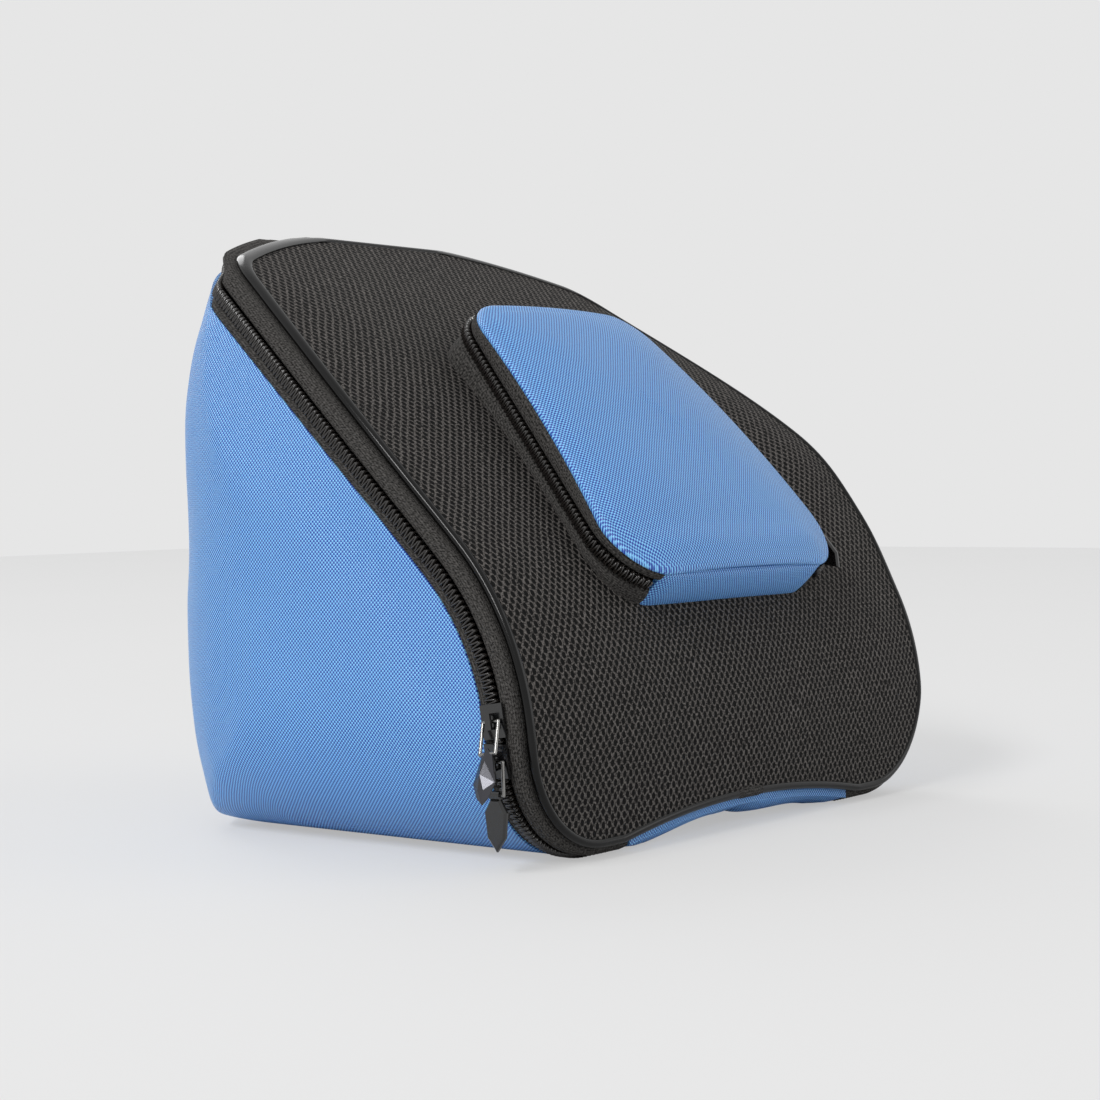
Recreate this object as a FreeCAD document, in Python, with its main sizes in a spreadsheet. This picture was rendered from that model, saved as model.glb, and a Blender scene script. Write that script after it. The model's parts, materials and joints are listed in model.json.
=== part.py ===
"""A wedge-shaped zip-up carry bag with a mesh lid and a zip pocket on the lid.

Axes: +X to the wearer's right, +Y to the back, +Z up.  The origin lies at the
middle of the underside, in the plane of the feet.  Lengths are millimetres.

The soft layers follow one family of shapes.  envelope(inset) is the bag's outer
form drawn in by an inset, and behind_lid(depth) is all that lies deeper than a
depth below the lid's curved face.  A layer is an inset range times a depth range.
"""
import FreeCAD, Part
import math
import os

import Sketcher
from FreeCAD import Placement, Rotation, Vector

os.makedirs("parts", exist_ok=True)
doc = FreeCAD.newDocument("wedge_bag")

# ---------------------------------------------------------------- driving sizes
SIZES = {
    # bag body
    "body_width": 256.0,
    "body_height": 224.0,
    "body_depth": 196.0,
    "foot_radius": 42.0,
    "side_straight_top": 115.0,
    "side_curve_radius": 140.0,
    "shoulder_radius": 24.0,
    "crown_radius": 260.0,
    "back_corner_radius": 72.0,
    "back_foot_radius": 30.0,
    "back_straight_top": 120.0,
    "back_curve_radius": 260.0,
    "arch_rise": 7.0,
    "arch_width": 150.0,
    "arch_depth": 80.0,
    # lid face, seen from the side
    "lid_upright": 34.0,
    "lid_curve_radius": 100.0,
    "lid_lean_deg": 45.0,
    "lid_upper_radius": 820.0,
    "lid_top_lean_deg": 58.0,
    # soft layers
    "fabric_thickness": 1.4,
    "foam_thickness": 3.0,
    "lining_thickness": 0.8,
    "mesh_thickness": 3.0,
    "layer_gap": 0.3,
    "board_thickness": 2.4,
    "board_margin": 8.0,
    # main zipper
    "piping_size": 3.2,
    "lid_edge_inset": 3.5,
    "tape_thickness": 1.0,
    "lid_tape_width": 5.0,
    "base_tape_width": 9.0,
    "seam_allowance": 4.8,
    "coil_width": 2.4,
    "coil_thickness": 2.6,
    "chain_gap": 1.2,
    "chain_depth": 2.0,
    "lid_hinge_width": 140.0,
    # pocket
    "pocket_length": 132.0,
    "pocket_top_width": 98.0,
    "pocket_bottom_width": 144.0,
    "pocket_top_radius": 18.0,
    "pocket_bottom_radius": 22.0,
    "pocket_tilt_deg": 4.4,
    "pocket_height": 16.7,
    "pocket_offset": 34.6,
    "pocket_cover_edge": 3.0,
    "pocket_crown": 5.0,
    "pocket_chain_depth": 1.6,
    "pocket_upper_tape_width": 2.4,
    "pocket_hinge_width": 100.0,
    # sliders and pulls
    "slider_length": 11.0,
    "slider_width": 9.0,
    "wing_thickness": 0.9,
    "wing_clearance": 0.8,
    "web_thickness": 0.6,
    "slider_gap": 1.2,
    "cap_length": 5.2,
    "cap_width": 2.2,
    "cap_thickness": 0.8,
    "bail_wire": 1.2,
    "bail_clearance": 0.25,
    "bail_reach": 10.5,
    "bail_width": 6.4,
    "pull_length": 18.0,
    "pull_width": 9.0,
    "pull_thickness": 2.2,
    "pull_bevel": 0.66,
    "pull_neck_width": 4.0,
    "pull_waist_width": 7.2,
    "pull_shoulder": 5.4,
    "pull_waist": 13.5,
    "upper_pull_tilt_deg": 20.0,
    "pocket_pull_turn_deg": 1.0,
}

sheet = doc.addObject("Spreadsheet::Sheet", "Sizes")
for row, (alias, value) in enumerate(SIZES.items(), start=1):
    sheet.set(f"A{row}", alias)
    sheet.set(f"B{row}", str(value))
    sheet.setAlias(f"B{row}", alias)
doc.recompute()


def size(alias):
    """Return one driving size from the sheet."""
    return float(sheet.get(alias))


# ---------------------------------------------------------------- derived places
HALF_WIDTH = size("body_width") / 2
HEIGHT = size("body_height")
DEPTH = size("body_depth")
GAP = size("layer_gap")
MARGIN = 60.0                      # how far cutting solids reach past the bag
FRONT_MARGIN = 2.0                 # how far the outer form reaches in front of the lid's face
EASE = 0.05                        # keeps the views' tangent faces from coinciding where they meet

# the lid's face is upright up to a height, then follows a lower and an upper arc, then runs straight
LEAN = math.radians(size("lid_lean_deg"))
TOP_LEAN = math.radians(size("lid_top_lean_deg"))
LID_UPRIGHT = size("lid_upright")
LID_RADIUS = size("lid_curve_radius")
LID_UPPER_RADIUS = size("lid_upper_radius")
LID_CENTRE = Vector(0, LID_RADIUS, LID_UPRIGHT)
LID_UPPER_CENTRE = LID_CENTRE + Vector(0, math.cos(LEAN), -math.sin(LEAN)) * (LID_UPPER_RADIUS - LID_RADIUS)

# depths below the lid's face at which the zipper band's strips begin and end
PIPING_END = size("piping_size")
LID_TAPE_START = PIPING_END + GAP
LID_TAPE_END = LID_TAPE_START + size("lid_tape_width")
LID_COIL_END = LID_TAPE_END + size("coil_width")
CHAIN_LINE = LID_COIL_END + size("chain_gap") / 2
BASE_COIL_START = CHAIN_LINE + size("chain_gap") / 2
BASE_COIL_END = BASE_COIL_START + size("coil_width")
PANEL_START = BASE_COIL_END + size("base_tape_width") - size("seam_allowance")
TAPE_END = PANEL_START + size("seam_allowance")
PADDING_START = TAPE_END + GAP

# insets from the bag's outer form at which the layers begin and end
CHAIN_INSET = size("chain_depth")
TAPE_OUTSIDE = CHAIN_INSET - size("tape_thickness") / 2
TAPE_INSIDE = CHAIN_INSET + size("tape_thickness") / 2
COIL_OUTSIDE = CHAIN_INSET - size("coil_thickness") / 2
COIL_INSIDE = CHAIN_INSET + size("coil_thickness") / 2
FABRIC_INSIDE = size("fabric_thickness")
FOAM_OUTSIDE = FABRIC_INSIDE + GAP
FOAM_INSIDE = FOAM_OUTSIDE + size("foam_thickness")
LINING_OUTSIDE = FOAM_INSIDE + GAP
LINING_INSIDE = LINING_OUTSIDE + size("lining_thickness")
PIPING_INSIDE = size("lid_edge_inset") + size("piping_size")
LID_INSET = PIPING_INSIDE + GAP


# ---------------------------------------------------------------- shared shapes
def face_of(edges):
    """Return the plane face bounded by edges given in any order."""
    return Part.Face(Part.Wire(Part.__sortEdges__(edges)))


def arc_edge(centre, radius, start_deg, end_deg, plane):
    """Return the arc about centre in the plane spanned by two unit vectors."""
    across, up = plane
    points = []
    for angle in (start_deg, (start_deg + end_deg) / 2, end_deg):
        turn = math.radians(angle)
        points.append(centre + across * (radius * math.cos(turn)) + up * (radius * math.sin(turn)))
    return Part.Arc(*points).toShape()


def end_points(edge):
    """Return the first and the last point of an edge."""
    return edge.valueAt(edge.FirstParameter), edge.valueAt(edge.LastParameter)


def joined(arcs):
    """Return arcs with straight lines between each one's end and the next one's start."""
    edges = []
    for arc, following in zip(arcs, arcs[1:] + arcs[:1]):
        edges.append(arc)
        start = end_points(arc)[1]
        end = end_points(following)[0]
        if start.distanceToPoint(end) > 1e-6:
            edges.append(Part.LineSegment(start, end).toShape())
    return edges


def front_outline(inset):
    """Return the front view's outline as a face in the plane Y = 0, drawn in by inset."""
    across, up = Vector(1, 0, 0), Vector(0, 0, 1)
    foot = size("foot_radius")
    side = size("side_curve_radius")
    shoulder = size("shoulder_radius")
    crown = size("crown_radius")
    foot_x = HALF_WIDTH - foot
    side_x = HALF_WIDTH - side
    side_z = size("side_straight_top")
    crown_z = HEIGHT - crown
    # the shoulder's centre lies at known distances from the two larger arcs' centres
    apart = math.hypot(side_x, side_z - crown_z)
    along = ((side - shoulder) ** 2 - (crown - shoulder) ** 2 + apart ** 2) / (2 * apart)
    off = math.sqrt((side - shoulder) ** 2 - along ** 2)
    toward = Vector(-side_x / apart, 0, (crown_z - side_z) / apart)
    shoulder_centre = Vector(side_x, 0, side_z) + toward * along + Vector(-toward.z, 0, toward.x) * off
    side_end = math.degrees(math.atan2(shoulder_centre.z - side_z, shoulder_centre.x - side_x))
    crown_end = math.degrees(math.atan2(shoulder_centre.z - crown_z, shoulder_centre.x))
    right = (across, up)
    left = (across * -1, up)
    arcs = [
        arc_edge(Vector(foot_x, 0, foot), foot - inset, -90, 0, right),
        arc_edge(Vector(side_x, 0, side_z), side - inset, 0, side_end, right),
        arc_edge(shoulder_centre, shoulder - inset, side_end, crown_end, right),
        arc_edge(Vector(0, 0, crown_z), crown - inset, crown_end, 180 - crown_end, right),
        arc_edge(Vector(-shoulder_centre.x, 0, shoulder_centre.z), shoulder - inset,
                 crown_end, side_end, left),
        arc_edge(Vector(-side_x, 0, side_z), side - inset, side_end, 0, left),
        arc_edge(Vector(-foot_x, 0, foot), foot - inset, 0, -90, left),
    ]
    return face_of(joined(arcs))


def plan_outline(inset):
    """Return the plan view's outline as a face in the plane Z = 0, drawn in by inset."""
    radius = size("back_corner_radius")
    half = HALF_WIDTH - inset
    centre_x = HALF_WIDTH - radius
    centre_y = DEPTH - radius
    plane = (Vector(1, 0, 0), Vector(0, 1, 0))
    right_arc = arc_edge(Vector(centre_x, centre_y, 0), radius - inset, 0, 90, plane)
    left_arc = arc_edge(Vector(-centre_x, centre_y, 0), radius - inset, 90, 180, plane)
    front_left = Vector(-half, -MARGIN, 0)
    front_right = Vector(half, -MARGIN, 0)
    back_left = end_points(left_arc)
    back_right = end_points(right_arc)
    edges = [right_arc, left_arc]
    for start, end in (
        (back_right[1], back_left[0]),
        (back_left[1], front_left),
        (front_left, front_right),
        (front_right, back_right[0]),
    ):
        edges.append(Part.LineSegment(start, end).toShape())
    return face_of(edges)


def back_outline(inset):
    """Return the side view's outline, open to the front, drawn in by inset."""
    foot = size("back_foot_radius")
    curve = size("back_curve_radius")
    straight_top = size("back_straight_top")
    plane = (Vector(0, 1, 0), Vector(0, 0, 1))
    rise = math.degrees(math.asin((HEIGHT + MARGIN - straight_top) / curve))
    foot_arc = arc_edge(Vector(0, DEPTH - foot, foot), foot - inset, -90, 0, plane)
    top_arc = arc_edge(Vector(0, DEPTH - curve, straight_top), curve - inset, 0, rise, plane)
    top_back = end_points(top_arc)[1]
    top_front = Vector(0, -MARGIN, top_back.z)
    bottom_front = Vector(0, -MARGIN, inset)
    edges = [foot_arc, top_arc]
    for start, end in (
        (end_points(foot_arc)[1], end_points(top_arc)[0]),
        (top_back, top_front),
        (top_front, bottom_front),
        (bottom_front, end_points(foot_arc)[0]),
    ):
        edges.append(Part.LineSegment(start, end).toShape())
    return face_of(edges)


def arch_cutter(inset):
    """Return the leaning cylinder whose crest hollows the underside towards the front."""
    half = size("arch_width") / 2
    rise = size("arch_rise")
    radius = (half ** 2 + rise ** 2) / (2 * rise)
    fall = math.atan2(rise, size("arch_depth"))
    length = DEPTH + 2 * MARGIN
    along = Vector(0, math.cos(fall), -math.sin(fall))
    start = Vector(0, 0, rise - radius / math.cos(fall)) - along * MARGIN
    return Part.makeCylinder(radius + inset, length, start, along)


ENVELOPES = {}


def envelope(inset):
    """Return the bag's outer form drawn in by inset, without the cut of the lid's face."""
    key = round(inset, 4)
    if key not in ENVELOPES:
        front = front_outline(inset)
        front.translate(Vector(0, -FRONT_MARGIN, 0))
        solid = front.extrude(Vector(0, DEPTH + MARGIN, 0))
        plan = plan_outline(inset - EASE)
        plan.translate(Vector(0, 0, -MARGIN))
        solid = solid.common(plan.extrude(Vector(0, 0, HEIGHT + 2 * MARGIN)))
        side = back_outline(inset - 2 * EASE)
        side.translate(Vector(-HALF_WIDTH - MARGIN, 0, 0))
        solid = solid.common(side.extrude(Vector(2 * (HALF_WIDTH + MARGIN), 0, 0)))
        ENVELOPES[key] = solid.cut(arch_cutter(inset))
    return ENVELOPES[key]


def behind_lid(depth):
    """Return everything that lies deeper than depth below the lid's face."""
    plane = (Vector(0, -1, 0), Vector(0, 0, 1))
    lean, top_lean = size("lid_lean_deg"), size("lid_top_lean_deg")
    lower_arc = arc_edge(LID_CENTRE, LID_RADIUS - depth, 0, lean, plane)
    upper_arc = arc_edge(LID_UPPER_CENTRE, LID_UPPER_RADIUS - depth, lean, top_lean, plane)
    start = end_points(lower_arc)[0]
    end = end_points(upper_arc)[1]
    top = max(HEIGHT, end.z) + MARGIN
    straight = (top - end.z) / math.cos(TOP_LEAN)
    upper = end + Vector(0, math.sin(TOP_LEAN), math.cos(TOP_LEAN)) * straight
    far = DEPTH + 2 * MARGIN + upper.y
    corners = [end, upper, Vector(0, far, top), Vector(0, far, -MARGIN), Vector(0, depth, -MARGIN), start]
    edges = [lower_arc, upper_arc]
    for first, second in zip(corners, corners[1:]):
        edges.append(Part.LineSegment(first, second).toShape())
    face = face_of(edges)
    face.translate(Vector(-HALF_WIDTH - MARGIN, 0, 0))
    return face.extrude(Vector(2 * (HALF_WIDTH + MARGIN), 0, 0))


def band(outer, inner, start, end=None):
    """Return the layer between two insets and, if an end is given, two depths."""
    layer = envelope(outer).common(behind_lid(start))
    layer = layer.cut(envelope(inner))
    if end is not None:
        layer = layer.cut(behind_lid(end))
    return layer


def slab(outer, start, end):
    """Return the sheet that fills the envelope between two depths."""
    return envelope(outer).common(behind_lid(start)).cut(behind_lid(end))


def block(low, high):
    """Return the box between two corners."""
    low, high = Vector(*low), Vector(*high)
    span = high - low
    return Part.makeBox(span.x, span.y, span.z, low)


# ---------------------------------------------------------------- pocket shapes
POCKET_LENGTH = size("pocket_length")
POCKET_LEAN = LEAN + size("pocket_offset") / LID_UPPER_RADIUS
POCKET_SLOPE = 90 - math.degrees(POCKET_LEAN) + size("pocket_tilt_deg")
TAPER = math.atan((size("pocket_bottom_width") - size("pocket_top_width")) / 2 / POCKET_LENGTH)
SIDE_REACH = (math.cos(TAPER) * size("pocket_bottom_width") / 2
              - math.sin(TAPER) * POCKET_LENGTH / 2)

# heights over the pocket's seam plane, negative towards the lid
COVER_EDGE = -size("pocket_cover_edge")
UPPER_TAPE_TOP = COVER_EDGE - GAP
UPPER_COIL_TOP = UPPER_TAPE_TOP - size("pocket_upper_tape_width")
UPPER_COIL_END = UPPER_COIL_TOP - size("coil_width")
POCKET_CHAIN_LINE = UPPER_COIL_END - size("chain_gap") / 2
LOWER_COIL_TOP = POCKET_CHAIN_LINE - size("chain_gap") / 2
LOWER_COIL_END = LOWER_COIL_TOP - size("coil_width")
WALL_END = -2 * size("pocket_height") - MARGIN

POCKET_CHAIN_INSET = size("pocket_chain_depth")
POCKET_TAPE = (POCKET_CHAIN_INSET - size("tape_thickness") / 2,
               POCKET_CHAIN_INSET + size("tape_thickness") / 2)
POCKET_COIL = (POCKET_CHAIN_INSET - size("coil_thickness") / 2,
               POCKET_CHAIN_INSET + size("coil_thickness") / 2)
POCKET_WALL = (POCKET_TAPE[0], POCKET_TAPE[0] + size("fabric_thickness"))


def pocket_frame():
    """Return the placement whose X, Y and Z run across, up and out of the pocket's seam plane."""
    outward = Vector(0, -math.cos(POCKET_LEAN), math.sin(POCKET_LEAN))
    middle = LID_UPPER_CENTRE + outward * (LID_UPPER_RADIUS + size("pocket_height"))
    return Placement(middle, Rotation(Vector(1, 0, 0), POCKET_SLOPE))


POCKET = pocket_frame()


def pocket_outline(inset):
    """Return the pocket's outline as a face in its seam plane, drawn in by inset."""
    taper_deg = math.degrees(TAPER)
    right = (Vector(1, 0, 0), Vector(0, 1, 0))
    left = (Vector(-1, 0, 0), Vector(0, 1, 0))
    top = size("pocket_top_radius")
    bottom = size("pocket_bottom_radius")
    top_y = POCKET_LENGTH / 2 - top
    bottom_y = bottom - POCKET_LENGTH / 2
    top_x = (SIDE_REACH - top - math.sin(TAPER) * top_y) / math.cos(TAPER)
    bottom_x = (SIDE_REACH - bottom - math.sin(TAPER) * bottom_y) / math.cos(TAPER)
    arcs = [
        arc_edge(Vector(bottom_x, bottom_y, 0), bottom - inset, -90, taper_deg, right),
        arc_edge(Vector(top_x, top_y, 0), top - inset, taper_deg, 90, right),
        arc_edge(Vector(-top_x, top_y, 0), top - inset, 90, taper_deg, left),
        arc_edge(Vector(-bottom_x, bottom_y, 0), bottom - inset, taper_deg, -90, left),
    ]
    return face_of(joined(arcs))


def pocket_slab(inset, bottom, top):
    """Return the pocket's outline filled between two heights over its seam plane."""
    face = pocket_outline(inset)
    face.translate(Vector(0, 0, bottom))
    return face.extrude(Vector(0, 0, top - bottom))


def pocket_ring(insets, bottom, top):
    """Return a wall that follows the pocket's outline between two insets and two heights."""
    outer, inner = insets
    return pocket_slab(outer, bottom, top).cut(pocket_slab(inner, bottom, top))


def pocket_hinge_block(margin):
    """Return the block round the stretch of the pocket's lower wall that has no zipper."""
    half = size("pocket_hinge_width") / 2 - margin
    low_edge = -POCKET_LENGTH / 2
    high_edge = low_edge + size("pocket_bottom_radius")
    return block((-half, low_edge - MARGIN, WALL_END), (half, high_edge, MARGIN))


def cover_form(inset, bottom):
    """Return the pocket cover's domed form, drawn in by inset, down to a height."""
    crown = size("pocket_crown")
    half = size("pocket_bottom_width") / 2
    radius = (half ** 2 + crown ** 2) / (2 * crown)
    dome = Part.makeCylinder(radius - inset, POCKET_LENGTH + 2 * MARGIN,
                             Vector(0, -POCKET_LENGTH / 2 - MARGIN, crown - radius), Vector(0, 1, 0))
    return pocket_slab(inset, bottom, crown).common(dome)


# ---------------------------------------------------------------- writing pieces
NODES = {}
TO_ORIGIN = Placement(Vector(0, -DEPTH / 2, 0), Rotation())


def add_layer(name, shape, placement=None):
    """Add a soft layer whose shape has no simple sketch, as one solid with its placement."""
    feature = doc.addObject("Part::Feature", name)
    solids = shape.Solids
    feature.Shape = solids[0] if len(solids) == 1 else Part.Compound(solids)
    feature.Placement = TO_ORIGIN.multiply(placement) if placement else TO_ORIGIN
    feature.Label = name
    NODES[name] = feature
    return feature


# ---------------------------------------------------------------- bag body
FOOT_X = HALF_WIDTH - size("foot_radius")
BACK_X = HALF_WIDTH - size("back_corner_radius")
BACK_FOOT_Y = DEPTH - size("back_foot_radius")
UNDER_TOP = size("arch_rise") + LINING_INSIDE


def under_block():
    """Return the block round the flat underside between the feet's roundings."""
    return block((-FOOT_X, -MARGIN, -MARGIN), (FOOT_X, BACK_FOOT_Y, UNDER_TOP))


def hinge_block(margin):
    """Return the block round the stretch of the lower front edge that has no zipper."""
    half = size("lid_hinge_width") / 2 - margin
    return block((-half, -MARGIN, -MARGIN), (half, TAPE_END + MARGIN, size("arch_rise") + 2 * COIL_INSIDE))


def add_wrap(layer, left_name, back_name, right_name):
    """Add a layer that wraps the sides and the back as a left, a back and a right piece."""
    reach = 2 * HALF_WIDTH
    deep = DEPTH + 2 * MARGIN
    tall = HEIGHT + 2 * MARGIN
    middle = block((-BACK_X, -MARGIN, -MARGIN), (BACK_X, deep, tall))
    left = block((-reach, -MARGIN, -MARGIN), (-BACK_X, deep, tall))
    right = block((BACK_X, -MARGIN, -MARGIN), (reach, deep, tall))
    add_layer(left_name, layer.common(left))
    add_layer(back_name, layer.common(middle))
    add_layer(right_name, layer.common(right))


def add_bag_body():
    """Add the blue panels, the padding, the lining and the base board."""
    shell = band(0, FABRIC_INSIDE, PANEL_START)
    add_layer("bottom_panel", shell.common(under_block()))
    add_wrap(shell.cut(under_block()), "left_side_panel", "back_panel", "right_side_panel")
    padding = band(FOAM_OUTSIDE, FOAM_INSIDE, PADDING_START)
    add_wrap(padding.cut(under_block()), "left_side_foam", "back_foam", "right_side_foam")
    add_layer("bag_lining", band(LINING_OUTSIDE, LINING_INSIDE, PADDING_START))
    strip = band(TAPE_OUTSIDE, TAPE_OUTSIDE + FABRIC_INSIDE, LID_TAPE_START, TAPE_END)
    add_layer("lid_hinge_strip", strip.common(hinge_block(GAP)))


def add_base_board():
    """Add the stiff board that lies in the bottom between the feet's roundings."""
    body = doc.addObject("PartDesign::Body", "base_board")
    sketch = body.newObject("Sketcher::SketchObject", "board_outline")
    plane = next(item for item in body.Origin.OriginFeatures if item.Role == "XY_Plane")
    sketch.AttachmentSupport = (plane, [""])
    sketch.MapMode = "FlatFace"
    sketch.AttachmentOffset = Placement(Vector(0, 0, FOAM_OUTSIDE), Rotation())
    front, back, half = 1.0, 2.0, 1.0
    corners = [Vector(-half, front, 0), Vector(half, front, 0), Vector(half, back, 0), Vector(-half, back, 0)]
    for start, end in zip(corners, corners[1:] + corners[:1]):
        sketch.addGeometry(Part.LineSegment(start, end), False)
    for index in range(4):
        sketch.addConstraint(Sketcher.Constraint("Coincident", index, 2, (index + 1) % 4, 1))
    for index, kind in ((1, "Vertical"), (2, "Horizontal"), (3, "Vertical")):
        sketch.addConstraint(Sketcher.Constraint(kind, index))
    sketch.addConstraint(Sketcher.Constraint("Symmetric", 0, 1, 0, 2, -2))
    width = sketch.addConstraint(Sketcher.Constraint("DistanceX", 0, 1, 0, 2, 2 * half))
    front_at = sketch.addConstraint(Sketcher.Constraint("DistanceY", -1, 1, 0, 1, front))
    length = sketch.addConstraint(Sketcher.Constraint("DistanceY", 1, 1, 1, 2, back - front))
    sketch.setExpression(f"Constraints[{width}]",
                         "Sizes.body_width - 2 * Sizes.foot_radius - 2 * Sizes.board_margin")
    sketch.setExpression(f"Constraints[{front_at}]", "Sizes.arch_depth")
    sketch.setExpression(f"Constraints[{length}]",
                         "Sizes.body_depth - Sizes.back_foot_radius - Sizes.board_margin - Sizes.arch_depth")
    pad = body.newObject("PartDesign::Pad", "board_pad")
    pad.Profile = sketch
    pad.setExpression("Length", "Sizes.board_thickness")
    sketch.Visibility = False
    body.Placement = TO_ORIGIN
    body.Label = "base_board"
    NODES["base_board"] = body


def add_base_zip():
    """Add the zipper half sewn to the bag's body."""
    tape = band(TAPE_OUTSIDE, TAPE_INSIDE, BASE_COIL_END, TAPE_END)
    coil = band(COIL_OUTSIDE, COIL_INSIDE, BASE_COIL_START, BASE_COIL_END)
    add_layer("base_zip_tape", tape.cut(hinge_block(0)))
    add_layer("base_zip_coil", coil.cut(hinge_block(0)))


# ---------------------------------------------------------------- lid
def add_lid():
    """Add the mesh panel, its lining, the piping and the zipper half sewn to the lid."""
    mesh_end = size("mesh_thickness")
    lining_end = mesh_end + GAP + size("lining_thickness")
    add_layer("lid_mesh_panel", slab(LID_INSET, 0, mesh_end))
    add_layer("lid_lining", slab(LID_INSET, mesh_end + GAP, lining_end))
    add_layer("lid_piping", band(size("lid_edge_inset"), PIPING_INSIDE, 0, PIPING_END))
    flange = band(TAPE_OUTSIDE, PIPING_INSIDE, LID_TAPE_START, LID_TAPE_START + size("tape_thickness"))
    tape = band(TAPE_OUTSIDE, TAPE_INSIDE, LID_TAPE_START, LID_TAPE_END).fuse(flange).removeSplitter()
    coil = band(COIL_OUTSIDE, COIL_INSIDE, LID_TAPE_END, LID_COIL_END)
    add_layer("lid_zip_tape", tape.cut(hinge_block(0)))
    add_layer("lid_zip_coil", coil.cut(hinge_block(0)))


def add_pocket():
    """Add the pocket's walls on the lid and its padded cover."""
    lid_body = behind_lid(0)
    lid_body.Placement = POCKET.inverse().multiply(lid_body.Placement)
    tape_wall = pocket_ring(POCKET_TAPE, WALL_END, LOWER_COIL_END).cut(lid_body)
    hinge_wall = pocket_ring(POCKET_WALL, WALL_END, UPPER_TAPE_TOP).cut(lid_body)
    lower_coil = pocket_ring(POCKET_COIL, LOWER_COIL_END, LOWER_COIL_TOP)
    upper_coil = pocket_ring(POCKET_COIL, UPPER_COIL_END, UPPER_COIL_TOP)
    upper_tape = pocket_ring(POCKET_TAPE, UPPER_COIL_TOP, UPPER_TAPE_TOP)
    no_zip = pocket_hinge_block(0)
    add_layer("pocket_wall_tape", tape_wall.cut(no_zip), POCKET)
    add_layer("pocket_lower_coil", lower_coil.cut(no_zip), POCKET)
    add_layer("pocket_upper_coil", upper_coil.cut(no_zip), POCKET)
    add_layer("pocket_upper_tape", upper_tape.cut(no_zip), POCKET)
    add_layer("pocket_hinge_wall", hinge_wall.common(pocket_hinge_block(GAP)), POCKET)
    lining_top = COVER_EDGE + size("lining_thickness")
    cover = cover_form(0, COVER_EDGE).cut(cover_form(FABRIC_INSIDE, COVER_EDGE))
    add_layer("pocket_cover_fabric", cover, POCKET)
    add_layer("pocket_cover_foam", cover_form(FOAM_OUTSIDE, lining_top + GAP), POCKET)
    add_layer("pocket_cover_lining", pocket_slab(FOAM_OUTSIDE, COVER_EDGE, lining_top), POCKET)


# ---------------------------------------------------------------- sliders and pulls
WING_IN = size("coil_thickness") / 2 + size("wing_clearance")
WING_OUT = WING_IN + size("wing_thickness")
WING_IN_SIZE = "(Sizes.coil_thickness / 2 + Sizes.wing_clearance)"
WING_OUT_SIZE = "(Sizes.coil_thickness / 2 + Sizes.wing_clearance + Sizes.wing_thickness)"
BAR_HEIGHT = WING_OUT + size("bail_clearance") + size("bail_wire") / 2
CAP_HOLE = "(Sizes.bail_wire + 2 * Sizes.bail_clearance)"


def bound_box(name, sizes, corner):
    """Add a box whose sizes and low corner are expressions on the sheet."""
    box = doc.addObject("Part::Box", name)
    for side, text in zip(("Length", "Width", "Height"), sizes):
        box.setExpression(side, text)
    for axis, text in zip("xyz", corner):
        box.setExpression(f"Placement.Base.{axis}", text)
    return box


def add_slider(name, frame):
    """Add a slider's body and its cap, with X along the chain and Z out of the zipper's face."""
    along, across = "Sizes.slider_length", "Sizes.slider_width"
    corner = (f"-{along} / 2", f"-{across} / 2")
    outer = bound_box(f"{name}_outer_wing", (along, across, "Sizes.wing_thickness"), corner + (WING_IN_SIZE,))
    inner = bound_box(f"{name}_inner_wing", (along, across, "Sizes.wing_thickness"),
                      corner + (f"-{WING_OUT_SIZE}",))
    web = bound_box(f"{name}_web", (along, "Sizes.web_thickness", f"2 * {WING_OUT_SIZE}"),
                    (f"-{along} / 2", "-Sizes.web_thickness / 2", f"-{WING_OUT_SIZE}"))
    body = doc.addObject("Part::MultiFuse", f"{name}_body")
    body.Shapes = [outer, inner, web]
    body.Placement = frame
    body.Label = f"{name}_body"
    NODES[f"{name}_body"] = body
    cap_block = bound_box(f"{name}_cap_block", ("Sizes.cap_length", "Sizes.cap_width",
                                                f"{CAP_HOLE} + Sizes.cap_thickness"),
                          ("-Sizes.cap_length / 2", "-Sizes.cap_width / 2", WING_OUT_SIZE))
    hole = bound_box(f"{name}_cap_hole", ("Sizes.cap_length - 2 * Sizes.cap_thickness",
                                          "2 * Sizes.cap_width", CAP_HOLE),
                     ("Sizes.cap_thickness - Sizes.cap_length / 2", "-Sizes.cap_width", WING_OUT_SIZE))
    cap = doc.addObject("Part::Cut", f"{name}_cap")
    cap.Base = cap_block
    cap.Tool = hole
    cap.Placement = frame
    cap.Label = f"{name}_cap"
    NODES[f"{name}_cap"] = cap


def bound_cylinder(name, radius, height, corner, axis):
    """Add a cylinder along an axis whose radius, height and foot are expressions on the sheet."""
    cylinder = doc.addObject("Part::Cylinder", name)
    cylinder.setExpression("Radius", radius)
    cylinder.setExpression("Height", height)
    cylinder.Placement = Placement(Vector(), Rotation(Vector(0, 0, 1), axis))
    for letter, text in zip("xyz", corner):
        cylinder.setExpression(f"Placement.Base.{letter}", text)
    return cylinder


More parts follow.
